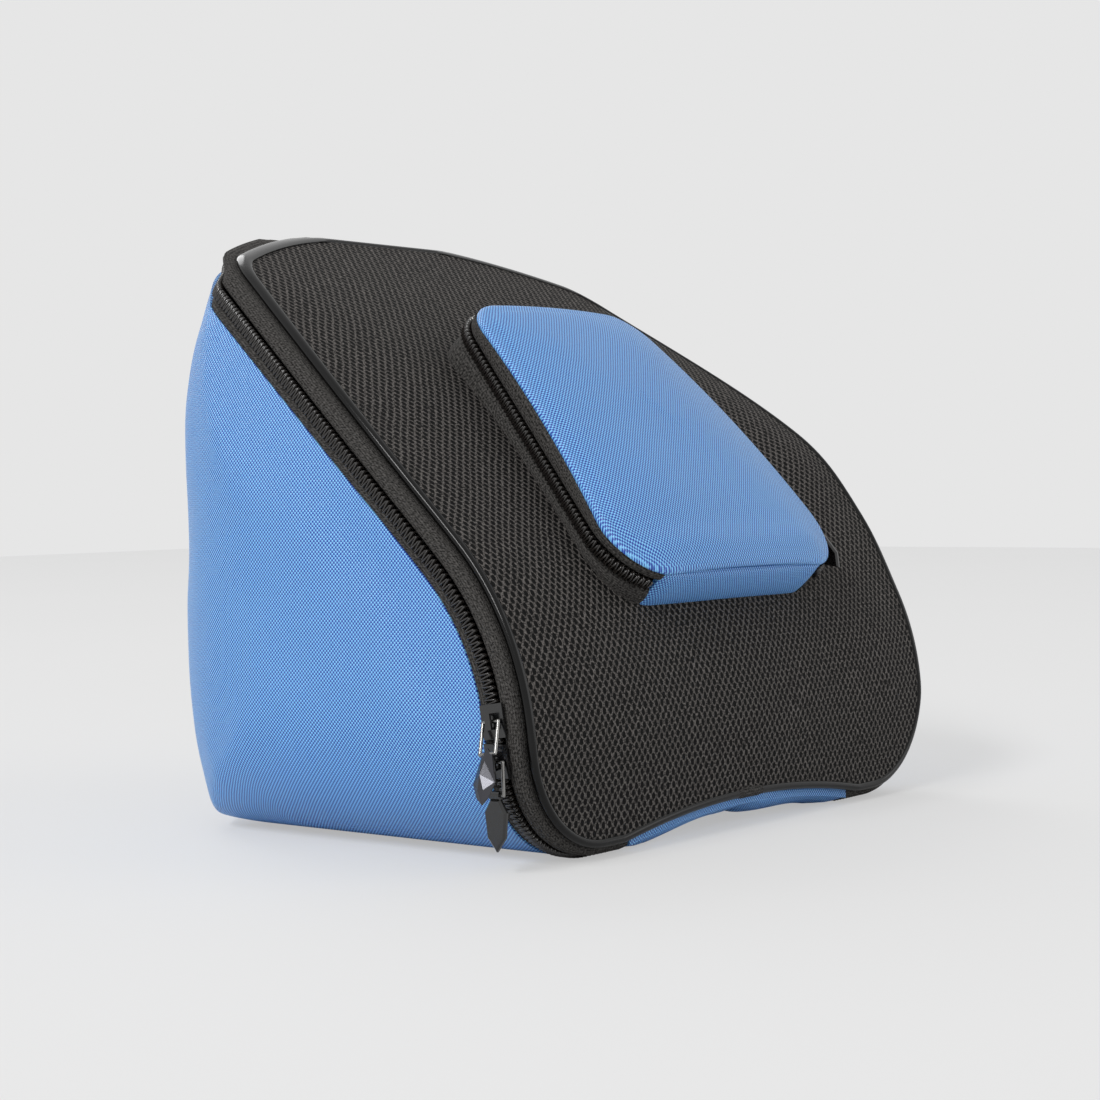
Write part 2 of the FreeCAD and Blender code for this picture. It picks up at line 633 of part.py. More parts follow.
def add_bail(name, frame):
    """Add the wire loop that joins a slider's cap to its pull, with its top bar on the axis."""
    wire, half, reach = "Sizes.bail_wire / 2", "Sizes.bail_width / 2", "Sizes.bail_reach"
    bars = []
    for place, x in (("top", "0 mm"), ("low", f"-{reach}")):
        bars.append(bound_cylinder(f"{name}_{place}_bar", wire, "Sizes.bail_width",
                                   (x, f"-{half}", "0 mm"), Vector(0, 1, 0)))
    for place, sign in (("left", "-"), ("right", "")):
        bars.append(bound_cylinder(f"{name}_{place}_leg", wire, reach,
                                   (f"-{reach}", f"{sign}{half}", "0 mm"), Vector(1, 0, 0)))
        for end, x in (("top", "0 mm"), ("low", f"-{reach}")):
            knee = doc.addObject("Part::Sphere", f"{name}_{place}_{end}_knee")
            knee.setExpression("Radius", wire)
            knee.setExpression("Placement.Base.x", x)
            knee.setExpression("Placement.Base.y", f"{sign}{half}")
            bars.append(knee)
    bail = doc.addObject("Part::MultiFuse", f"{name}_bail")
    bail.Shapes = bars
    bail.Placement = frame
    bail.Label = f"{name}_bail"
    NODES[f"{name}_bail"] = bail


def add_tab(name, frame):
    """Add the flat pull, a pointed bevelled plate with a barrel round the bail's low bar."""
    body = doc.addObject("PartDesign::Body", f"{name}_plate")
    sketch = body.newObject("Sketcher::SketchObject", f"{name}_outline")
    plane = next(item for item in body.Origin.OriginFeatures if item.Role == "XY_Plane")
    sketch.AttachmentSupport = (plane, [""])
    sketch.MapMode = "FlatFace"
    places = {
        0: ("bail_wire", "pull_neck_width"),
        1: ("pull_shoulder", "pull_width"),
        2: ("pull_waist", "pull_waist_width"),
    }
    reach = size("bail_reach")
    right = [(reach + size(back), size(width) / 2) for back, width in places.values()]
    tip_at = (reach + size("pull_length"), 0.0)
    corners = [Vector(-x, y, 0) for x, y in right + [tip_at]]
    corners += [Vector(-x, -y, 0) for x, y in reversed(right)]
    count = len(corners)
    for start, end in zip(corners, corners[1:] + corners[:1]):
        sketch.addGeometry(Part.LineSegment(start, end), False)
    for index in range(count):
        sketch.addConstraint(Sketcher.Constraint("Coincident", index, 2, (index + 1) % count, 1))
    for index, (back, width) in places.items():
        sketch.addConstraint(Sketcher.Constraint("Symmetric", index, 1, count - 1 - index, 1, -1))
        across = sketch.addConstraint(Sketcher.Constraint("DistanceX", index, 1, -1, 1, -corners[index].x))
        up = sketch.addConstraint(Sketcher.Constraint("DistanceY", -1, 1, index, 1, corners[index].y))
        sketch.setExpression(f"Constraints[{across}]", f"Sizes.bail_reach + Sizes.{back}")
        sketch.setExpression(f"Constraints[{up}]", f"Sizes.{width} / 2")
    tip = sketch.addConstraint(Sketcher.Constraint("DistanceX", 3, 1, -1, 1, tip_at[0]))
    sketch.setExpression(f"Constraints[{tip}]", "Sizes.bail_reach + Sizes.pull_length")
    sketch.addConstraint(Sketcher.Constraint("PointOnObject", 3, 1, -1))
    pad = body.newObject("PartDesign::Pad", f"{name}_pad")
    pad.Profile = sketch
    pad.Midplane = True
    pad.setExpression("Length", "Sizes.pull_thickness")
    doc.recompute()
    rims = [f"Edge{index + 1}" for index, edge in enumerate(pad.Shape.Edges)
            if abs(edge.valueAt(edge.FirstParameter).z - edge.valueAt(edge.LastParameter).z) < 1e-6]
    bevel = body.newObject("PartDesign::Chamfer", f"{name}_bevel")
    bevel.Base = (pad, rims)
    bevel.setExpression("Size", "Sizes.pull_bevel")
    sketch.Visibility = False
    body.Tip = bevel
    barrel = bound_cylinder(f"{name}_barrel", "Sizes.bail_wire + Sizes.bail_clearance",
                            "Sizes.bail_width - 2 * Sizes.bail_wire",
                            ("-Sizes.bail_reach", "Sizes.bail_wire - Sizes.bail_width / 2", "0 mm"),
                            Vector(0, 1, 0))
    bore = bound_cylinder(f"{name}_bore", "Sizes.bail_wire / 2 + Sizes.bail_clearance / 2",
                          "Sizes.bail_width",
                          ("-Sizes.bail_reach", "-Sizes.bail_width / 2", "0 mm"), Vector(0, 1, 0))
    solid = doc.addObject("Part::Fuse", f"{name}_solid")
    solid.Base = body
    solid.Tool = barrel
    tab = doc.addObject("Part::Cut", f"{name}_tab")
    tab.Base = solid
    tab.Tool = bore
    tab.Placement = frame
    tab.Label = f"{name}_tab"
    NODES[f"{name}_tab"] = tab


def turned(centre, axis, angle_deg):
    """Return the placement that turns about an axis through centre."""
    return Placement(Vector(), Rotation(axis, angle_deg), centre)


def slider_frames():
    """Return each slider's placement in the bag's own frame, at rest."""
    chain_x = -(HALF_WIDTH - CHAIN_INSET)
    foot = size("foot_radius")
    upward = Rotation(Vector(0, 0, 1), Vector(0, 1, 0), Vector(-1, 0, 0), "ZYX")
    half_step = (size("slider_length") + size("slider_gap")) / 2
    # the sliders meet where the feet's rounding ends, a little way up the lid's lower arc
    chain_radius = LID_RADIUS - CHAIN_LINE
    met = math.degrees(math.asin((foot - LID_UPRIGHT) / chain_radius))
    up = met + math.degrees(half_step / chain_radius)
    down = math.degrees(half_step / (foot - CHAIN_INSET))
    lower_z = foot - (foot - CHAIN_INSET) * math.sin(math.radians(down))
    lower_turn = math.asin(max(lower_z - LID_UPRIGHT, 0) / chain_radius)
    lower_y = CHAIN_LINE + chain_radius * (1 - math.cos(lower_turn))
    on_lid = Placement(Vector(chain_x, CHAIN_LINE, LID_UPRIGHT), upward)
    on_foot = Placement(Vector(chain_x, lower_y, foot), upward)
    lean_back = Placement(Vector(), Rotation(Vector(0, 0, 1), math.degrees(lower_turn)))
    bottom = size("pocket_bottom_radius")
    corner_end = bottom - POCKET_LENGTH / 2 + bottom * math.sin(TAPER)
    place_y = corner_end + size("slider_length") / 2
    place_x = (SIDE_REACH - POCKET_CHAIN_INSET - math.sin(TAPER) * place_y) / math.cos(TAPER)
    side = Placement(
        Vector(place_x, place_y, POCKET_CHAIN_LINE),
        Rotation(Vector(-math.sin(TAPER), math.cos(TAPER), 0), Vector(0, 0, 1),
                 Vector(math.cos(TAPER), math.sin(TAPER), 0), "XYZ"))
    round_foot = turned(Vector(-FOOT_X, 0, foot), Vector(0, 1, 0), -down)
    return {
        "upper": turned(LID_CENTRE, Vector(1, 0, 0), -up).multiply(on_lid),
        "lower": round_foot.multiply(on_foot).multiply(lean_back),
        "pocket": POCKET.multiply(side),
    }, down


def add_sliders():
    """Add the two main sliders and the pocket's slider, each with its bail and pull."""
    frames, lower_lean = slider_frames()
    axle = Placement(Vector(0, 0, BAR_HEIGHT), Rotation())
    tilts = {
        "upper": Rotation(Vector(0, 1, 0), size("upper_pull_tilt_deg")),
        "lower": Rotation(Vector(0, 1, 0), lower_lean),
        "pocket": Rotation(Vector(0, 0, 1), size("pocket_pull_turn_deg")),
    }
    for name, local in frames.items():
        frame = TO_ORIGIN.multiply(local)
        add_slider(f"{name}_slider", frame)
        pull_frame = frame.multiply(axle).multiply(Placement(Vector(), tilts[name]))
        add_bail(f"{name}_pull", pull_frame)
        add_tab(f"{name}_pull", pull_frame)


# ---------------------------------------------------------------- build and write
def check_document():
    """Stop if an object failed or a piece has no valid solid."""
    faults = [item.Name for item in doc.Objects
              if "Invalid" in item.State or "Error" in item.State]
    for name, item in NODES.items():
        shape = item.Shape
        if shape.isNull() or not shape.isValid() or not shape.Solids:
            faults.append(f"{name}: no valid solid")
    if faults:
        raise RuntimeError("; ".join(faults))


def write_parts():
    """Write each piece to its own STEP file and print its place in the bag."""
    for name, item in NODES.items():
        shape = item.Shape
        shape.exportStep(f"parts/{name}.step")
        box = shape.BoundBox
        print(f"{name:24s} solids {len(shape.Solids)}  volume {shape.Volume:10.1f}  "
              f"x {box.XMin:7.1f} {box.XMax:7.1f}  y {box.YMin:7.1f} {box.YMax:7.1f}  "
              f"z {box.ZMin:6.1f} {box.ZMax:6.1f}")


add_bag_body()
add_base_board()
add_base_zip()
add_lid()
add_pocket()
add_sliders()
doc.recompute()
check_document()
write_parts()
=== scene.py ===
"""Dresses the wedge-shaped zip-up carry bag: fabric body, mesh lid, piped zipper band and lid pocket.

Lengths are metres in the bag's own frame: +X to the right of somebody who faces the lid, +Y to the
back, +Z up, origin in the middle of the underside.
"""
import bisect
import json
import logging
import math
from dataclasses import dataclass, field
from enum import Enum
from typing import Callable, Iterable, Sequence

import bmesh
import bpy
from bmesh.types import BMEdge, BMesh, BMFace, BMVert
from mathutils import Matrix, Vector, noise
from mathutils.bvhtree import BVHTree


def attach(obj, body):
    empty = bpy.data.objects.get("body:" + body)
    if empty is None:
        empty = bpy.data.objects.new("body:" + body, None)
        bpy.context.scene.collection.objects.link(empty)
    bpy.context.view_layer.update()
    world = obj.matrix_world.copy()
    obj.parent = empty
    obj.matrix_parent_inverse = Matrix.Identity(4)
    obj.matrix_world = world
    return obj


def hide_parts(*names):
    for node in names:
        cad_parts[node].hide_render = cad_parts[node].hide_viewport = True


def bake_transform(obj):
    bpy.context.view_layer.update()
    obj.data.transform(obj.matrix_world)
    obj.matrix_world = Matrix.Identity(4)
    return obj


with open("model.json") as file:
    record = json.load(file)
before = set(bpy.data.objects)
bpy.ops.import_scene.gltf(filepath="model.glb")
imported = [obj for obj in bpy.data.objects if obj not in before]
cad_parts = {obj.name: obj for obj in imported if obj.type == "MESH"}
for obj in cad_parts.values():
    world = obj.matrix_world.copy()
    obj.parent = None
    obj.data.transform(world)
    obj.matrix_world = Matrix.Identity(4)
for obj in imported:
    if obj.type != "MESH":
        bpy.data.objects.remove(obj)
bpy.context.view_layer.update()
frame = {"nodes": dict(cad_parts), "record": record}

LOG = logging.getLogger("wedge_bag")
MM = 0.001
UV_NAME = "UVMap"


# ------------------------------------------------------------------------------------- the form
def held(share: float) -> float:
    """Return a share held between 0 and 1."""
    return min(1.0, max(0.0, share))


def eased(share: float) -> float:
    """Return a share held between 0 and 1, with soft ends."""
    share = held(share)
    return share * share * (3 - 2 * share)


@dataclass(frozen=True)
class Fullness:
    """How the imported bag's right shoulder stands fuller than the left.

    Attributes:
        move: The furthest that the cloth is carried.
        across: Where the fullness starts along X, and the run over which it grows.
        rise: The same along Z.
        fall: Where it starts to fade along Z, and the run over which it fades.
    """
    move: tuple[float, float, float] = (3.6 * MM, -5.6 * MM, 6.6 * MM)
    across: tuple[float, float] = (64 * MM, 48 * MM)
    rise: tuple[float, float] = (78 * MM, 58 * MM)
    fall: tuple[float, float] = (118 * MM, 84 * MM)

    def carried(self, point: Vector) -> Vector:
        """Return where the fullness carries a point.

        Args:
            point: The point before.

        Returns:
            The point after.
        """
        near = eased((point.x - self.across[0]) / self.across[1])
        high = eased((point.z - self.rise[0]) / self.rise[1])
        high *= 1 - eased((point.z - self.fall[0]) / self.fall[1])
        return point + Vector(self.move) * (near * high)


FULLNESS = Fullness()


@dataclass(frozen=True)
class Station:
    """One stop on the way round the lid's edge, seen from the front.

    Attributes:
        x: Place across the bag on the outer form.
        z: Height on the outer form.
        out_x: Outward direction's part along X.
        out_z: Outward direction's part along Z.
        under: Whether it lies on the underside, where the bag arches.
    """
    x: float
    z: float
    out_x: float
    out_z: float
    under: bool = False


@dataclass(frozen=True)
class BagForm:
    """The bag's outer form, with the same sizes as its solids."""
    width: float = 0.256
    height: float = 0.224
    depth: float = 0.196
    foot_radius: float = 0.042
    side_straight_top: float = 0.115
    side_radius: float = 0.180
    shoulder_radius: float = 0.024
    crown_radius: float = 0.310
    back_corner_radius: float = 0.072
    back_foot_radius: float = 0.050
    arch_rise: float = 0.007
    arch_width: float = 0.150
    arch_depth: float = 0.080
    lid_upright: float = 0.034
    lid_radius: float = 0.100
    lid_lean: float = math.radians(45)
    lid_upper_radius: float = 0.820
    lid_top_lean: float = math.radians(58)
    back_straight_top: float = 0.120
    back_radius: float = 0.260
    top_run: float = 0.080
    top_rounding: float = 0.034
    foot_rounding: float = 0.024
    middle_z: float = 0.118
    crest_out: float = 2.0 * MM
    crest_tuck: float = 3.0 * MM
    step: float = 0.0025

    @property
    def half(self) -> float:
        """Return half the bag's width."""
        return self.width / 2

    def arch(self, x: float, y: float, inset: float = 0.0) -> float:
        """Return the underside's height where it arches.

        Args:
            x: Place across the bag.
            y: Distance behind the lid's front.
            inset: How far the surface lies inside the outer form.

        Returns:
            The arch's height, or a large negative number beside it.
        """
        half, rise = self.arch_width / 2, self.arch_rise
        radius = (half * half + rise * rise) / (2 * rise)
        fall = math.atan2(rise, self.arch_depth)
        reach = radius + inset
        if abs(x) >= reach:
            return -1.0
        height = rise - radius / math.cos(fall) - y * math.tan(fall)
        return height + math.sqrt(reach * reach - x * x) / math.cos(fall)

    def lid_y(self, z: float, depth: float) -> float:
        """Return how far a surface at a depth below the lid's face lies behind the lid's front.

        Args:
            z: Height above the underside.
            depth: Distance below the lid's face.

        Returns:
            The distance along Y behind the lid's front.
        """
        if z <= self.lid_upright:
            return depth
        low = self.lid_radius - depth
        rise = z - self.lid_upright
        if rise <= low * math.sin(self.lid_lean):
            return self.lid_radius - math.sqrt(low * low - rise * rise)
        apart = self.lid_upper_radius - self.lid_radius
        centre_y = self.lid_radius + apart * math.cos(self.lid_lean)
        centre_z = self.lid_upright - apart * math.sin(self.lid_lean)
        high = self.lid_upper_radius - depth
        top_z = centre_z + high * math.sin(self.lid_top_lean)
        if z <= top_z:
            return centre_y - math.sqrt(high * high - (z - centre_z) ** 2)
        top_y = centre_y - high * math.cos(self.lid_top_lean)
        return top_y + (z - top_z) * math.tan(self.lid_top_lean)

    def face_y(self, z: float, depth: float) -> float:
        """Return the place along Y of a surface at a depth below the lid's face, in the bag's frame."""
        return self.lid_y(z, depth) - self.depth / 2

    def stations(self) -> list[Station]:
        """Return the stops round the lid's edge.

        Returns:
            The stops, from the middle of the underside to the right, up and round.
        """
        foot_x = self.half - self.foot_radius
        side_x = self.half - self.side_radius
        crown_z = self.height - self.crown_radius
        apart = math.hypot(side_x, self.side_straight_top - crown_z)
        side_less = self.side_radius - self.shoulder_radius
        crown_less = self.crown_radius - self.shoulder_radius
        along = (side_less ** 2 - crown_less ** 2 + apart ** 2) / (2 * apart)
        off = math.sqrt(side_less ** 2 - along ** 2)
        to_x, to_z = -side_x / apart, (crown_z - self.side_straight_top) / apart
        shoulder_x = side_x + to_x * along - to_z * off
        shoulder_z = self.side_straight_top + to_z * along + to_x * off
        side_end = math.atan2(shoulder_z - self.side_straight_top, shoulder_x - side_x)
        crown_end = math.atan2(shoulder_z - crown_z, shoulder_x)
        right: list[Station] = []
        count = round(foot_x / self.step)
        right += [Station(foot_x * k / count, 0.0, 0.0, -1.0, True) for k in range(count)]
        right += self._arc(foot_x, self.foot_radius, self.foot_radius, -math.pi / 2, 0.0)
        rise = self.side_straight_top - self.foot_radius
        count = round(rise / self.step)
        right += [Station(self.half, self.foot_radius + rise * k / count, 1.0, 0.0) for k in range(count)]
        right += self._arc(side_x, self.side_straight_top, self.side_radius, 0.0, side_end)
        right += self._arc(shoulder_x, shoulder_z, self.shoulder_radius, side_end, crown_end)
        right += self._arc(0.0, crown_z, self.crown_radius, crown_end, math.pi / 2)
        top = Station(0.0, self.height, 0.0, 1.0)
        left = [Station(-s.x, s.z, -s.out_x, s.out_z, s.under) for s in reversed(right[1:])]
        return right + [top] + left

    def _arc(self, x: float, z: float, radius: float, start: float, end: float) -> list[Station]:
        """Return the stops on an arc, without its end.

        Args:
            x: The arc's centre across the bag.
            z: The centre's height.
            radius: The arc's radius.
            start: The angle at which it starts.
            end: The angle at which it ends.

        Returns:
            The stops.
        """
        count = max(2, round(radius * (end - start) / self.step))
        stops = []
        for k in range(count):
            turn = start + (end - start) * k / count
            stops.append(Station(x + radius * math.cos(turn), z + radius * math.sin(turn),
                                 math.cos(turn), math.sin(turn)))
        return stops

    def beyond_back(self, x: float, y: float, z: float) -> float:
        """Return how far a point lies outside the back and its rounded corners.

        Args:
            x: Place across the bag.
            y: Distance behind the lid's front.
            z: Height above the underside.

        Returns:
            The distance, negative inside the bag.
        """
        high = held((z - self.back_straight_top) / self.top_run)
        low = held((self.back_foot_radius - z) / self.back_foot_radius)
        radius = self.back_corner_radius + self.top_rounding * high ** 3 + self.foot_rounding * low ** 2
        across, behind = abs(x) - (self.half - radius), y - (self.depth - radius)
        corner = math.hypot(across, behind) if across > 0 and behind > 0 else behind
        bend, foot, arc = y - self.depth, self.back_foot_radius, self.back_radius
        if z > self.back_straight_top:
            bend = math.hypot(bend + arc, z - self.back_straight_top) - arc
        elif z < foot and bend > -foot:
            bend = math.hypot(bend + foot, z - foot) - foot
        return max(corner - radius, bend)

    def back_y(self, x: float, z: float) -> float:
        """Return how far back the outer form reaches.

        Args:
            x: Place across the bag.
            z: Height above the underside.

        Returns:
            The distance behind the lid's front.
        """
        low, high = self.lid_y(z, 0.0), self.depth
        for _ in range(16):
            middle = (low + high) / 2
            low, high = (low, middle) if self.beyond_back(x, middle, z) > 0 else (middle, high)
        return low

    def outer_points(self) -> list[Vector]:
        """Return points all over the closed outer form, except for the lid's face.

        Returns:
            The points, in the bag's frame.
        """
        points = []
        for stop in self.stations():
            rim = self.point(stop, 0.0, 8 * MM)
            points.append(rim)
            start, end = rim.y + self.depth / 2, self.back_y(stop.x, stop.z)
            if not stop.under and end > start:
                points += [Vector((stop.x, start + (end - start) * k / 6 - self.depth / 2, stop.z))
                           for k in range(1, 7)]
            # The back's bowl, closer together near its rounded edge.
            for share in (0.97, 0.94, 0.9, 0.85, 0.78, 0.7, 0.6, 0.45, 0.25):
                x, z = stop.x * share, self.middle_z + (stop.z - self.middle_z) * share
                points.append(Vector((x, self.back_y(x, z) - self.depth / 2, z)))
            # The rounded foot of the back.
            if stop.under:
                points += [Vector((stop.x, self.back_y(stop.x, z) - self.depth / 2, z))
                           for z in (0.0, 0.003, 0.008, 0.015, 0.025, 0.04)]
        return points

    def point(self, stop: Station, inset: float, depth: float) -> Vector:
        """Return the point of the lid's edge at an inset from the outer form and a depth below the face.

        Args:
            stop: The stop round the edge.
            inset: Distance inside the outer form.
            depth: Distance below the lid's face.

        Returns:
            The point in the bag's frame, on the back where the lid's curve runs out over it.
        """
        # On the crest the piping stands out and the tape behind it tucks in.
        crest = max(0.0, stop.out_z) ** 2
        inset -= crest * (self.crest_out - self.crest_tuck * eased((depth - 3.2 * MM) / (2.8 * MM)))
        x = stop.x - stop.out_x * inset
        z = stop.z - stop.out_z * inset
        if stop.under:
            z = max(inset, self.arch(x, depth, inset))
        middle = self.middle_z
        if self.beyond_back(x, self.lid_y(z, depth), z) > -inset:
            low, high = 0.6, 1.0
            for _ in range(18):
                share = (low + high) / 2
                height = middle + (z - middle) * share
                out = self.beyond_back(x * share, self.lid_y(height, depth), height) > -inset
                low, high = (low, share) if out else (share, high)
            x, z = x * low, middle + (z - middle) * low
        return Vector((x, self.face_y(z, depth), z))


FORM = BagForm()


@dataclass(frozen=True)
class BandSizes:
    """Depths below the lid's face and insets from the outer form of the zipper band's strips."""
    edge: float = 0.0035
    piping: float = 0.0032
    lid_tape: float = 0.0035
    chain: float = 0.0115
    panel: float = 0.0165
    tape_end: float = 0.0235
    hinge_half: float = 0.070


BAND = BandSizes()


@dataclass(frozen=True)
class PocketForm:
    """The pocket's seam outline and its place on the lid."""
    length: float = 0.132
    top_width: float = 0.098
    bottom_width: float = 0.144
    top_radius: float = 0.018
    bottom_radius: float = 0.022
    tilt: float = math.radians(4.4)
    height: float = 0.0167
    offset: float = 0.0346
    edge: float = -0.003
    chain: float = -0.0087
    hinge_half: float = 0.050
    crown: float = 0.005
    crown_reach: float = 0.072
    side_run: float = 0.085

    @property
    def taper(self) -> float:
        """Return how far each side leans from the pocket's middle line."""
        return math.atan((self.bottom_width - self.top_width) / 2 / self.length)

    @property
    def place(self) -> Matrix:
        """Return the seam plane's place.

        Returns:
            The matrix whose X, Y and Z run across, up and out of the plane.
        """
        lean = FORM.lid_lean + self.offset / FORM.lid_upper_radius
        apart = FORM.lid_upper_radius - FORM.lid_radius
        centre = Vector((0, FORM.lid_radius + apart * math.cos(FORM.lid_lean),
                         FORM.lid_upright - apart * math.sin(FORM.lid_lean)))
        out = Vector((0, -math.cos(lean), math.sin(lean)))
        middle = centre + out * (FORM.lid_upper_radius + self.height)
        middle.y -= FORM.depth / 2
        slope = math.pi / 2 - lean + self.tilt
        return Matrix.Translation(middle) @ Matrix.Rotation(slope, 4, "X")

    def stops(self, inset: float, step: float = 0.0025) -> list[Vector]:
        """Return the seam outline's points, from the middle of the bottom to the right and up.

        Args:
            inset: Distance inside the outline.
            step: Distance between points.

        Returns:
            Points in the seam plane, as many at every inset.
        """
        reach = math.cos(self.taper) * self.bottom_width / 2 - math.sin(self.taper) * self.length / 2
        low_y = self.bottom_radius - self.length / 2
        top_y = self.length / 2 - self.top_radius
        low_x = (reach - self.bottom_radius - math.sin(self.taper) * low_y) / math.cos(self.taper)
        top_x = (reach - self.top_radius - math.sin(self.taper) * top_y) / math.cos(self.taper)
        right: list[Vector] = []
        bottom = -self.length / 2 + inset
        count = round(low_x / step)
        right += [Vector((low_x * k / count, bottom, 0)) for k in range(count)]
        right += self._corner(low_x, low_y, self.bottom_radius, inset, -math.pi / 2, self.taper, step)
        start = Vector((low_x + (self.bottom_radius - inset) * math.cos(self.taper),
                        low_y + (self.bottom_radius - inset) * math.sin(self.taper), 0))
        end = Vector((top_x + (self.top_radius - inset) * math.cos(self.taper),
                      top_y + (self.top_radius - inset) * math.sin(self.taper), 0))
        count = round(self.side_run / step)
        right += [start.lerp(end, k / count) for k in range(count)]
        right += self._corner(top_x, top_y, self.top_radius, inset, self.taper, math.pi / 2, step)
        top = self.length / 2 - inset
        count = round(top_x / step)
        right += [Vector((top_x * (1 - k / count), top, 0)) for k in range(count)]
        left = [Vector((-p.x, p.y, 0)) for p in reversed(right[1:])]
        return right + [Vector((0, top, 0))] + left

    def dome(self, point: Vector) -> float:
        """Return the cover's height over the seam plane.

        Args:
            point: A point in the seam plane.

        Returns:
            The height.
        """
        radius = (self.crown_reach ** 2 + self.crown ** 2) / (2 * self.crown)
        return math.sqrt(radius ** 2 - point.x ** 2 - point.y ** 2) - radius + self.crown

    def depth_inside(self, point: Vector) -> float:
        """Return roughly how far a point lies inside the outline.

        Args:
            point: A point in the seam plane.

        Returns:
            The distance, 0 outside.
        """
        side = (self.top_width + self.bottom_width) / 4 - point.y * math.tan(self.taper) - abs(point.x)
        return max(0.0, min(self.length / 2 - abs(point.y), side * math.cos(self.taper)))

    def _corner(self, x: float, y: float, radius: float, inset: float, start: float, end: float,
                step: float) -> list[Vector]:
        """Return the points on one corner's arc, without its end.

        Args:
            x: The arc's centre across the pocket.
            y: The centre along the pocket.
            radius: The arc's radius on the outline.
            inset: Distance inside the outline.
            start: The angle at which it starts.
            end: The angle at which it ends.
            step: Distance between points.

        Returns:
            The points.
        """
        count = max(3, round(radius * (end - start) / step))
        points = []
        for k in range(count):
            turn = start + (end - start) * k / count
            points.append(Vector((x + (radius - inset) * math.cos(turn),
                                  y + (radius - inset) * math.sin(turn), 0)))
        return points


POCKET = PocketForm()


# ------------------------------------------------------------------------------------- finishes
def linear(hex_colour: str) -> tuple[float, float, float, float]:
    """Return an sRGB hex colour as linear red, green, blue and alpha.

    Args:
        hex_colour: Six hex digits after a number sign.

    Returns:
        The four linear values.
    """
    values = [int(hex_colour[k:k + 2], 16) / 255 for k in (1, 3, 5)]
    return (*[v / 12.92 if v <= 0.04045 else ((v + 0.055) / 1.055) ** 2.4 for v in values], 1.0)


def add(tree: bpy.types.NodeTree, kind: str, inputs: dict | None = None, **settings) -> bpy.types.Node:
    """Add a node with its settings, and set or link its inputs.

    Args:
        tree: The material's node tree.
        kind: The node's type name without the ShaderNode prefix.
        inputs: Input name or number to a value or an output socket.
        **settings: The node's own properties.

    Returns:
        The new node.
    """
    node = tree.nodes.new("ShaderNode" + kind)
    for name, value in settings.items():
        setattr(node, name, value)
    for key, value in (inputs or {}).items():
        if isinstance(value, bpy.types.NodeSocket):
            tree.links.new(value, node.inputs[key])
        else:
            node.inputs[key].default_value = value
    return node


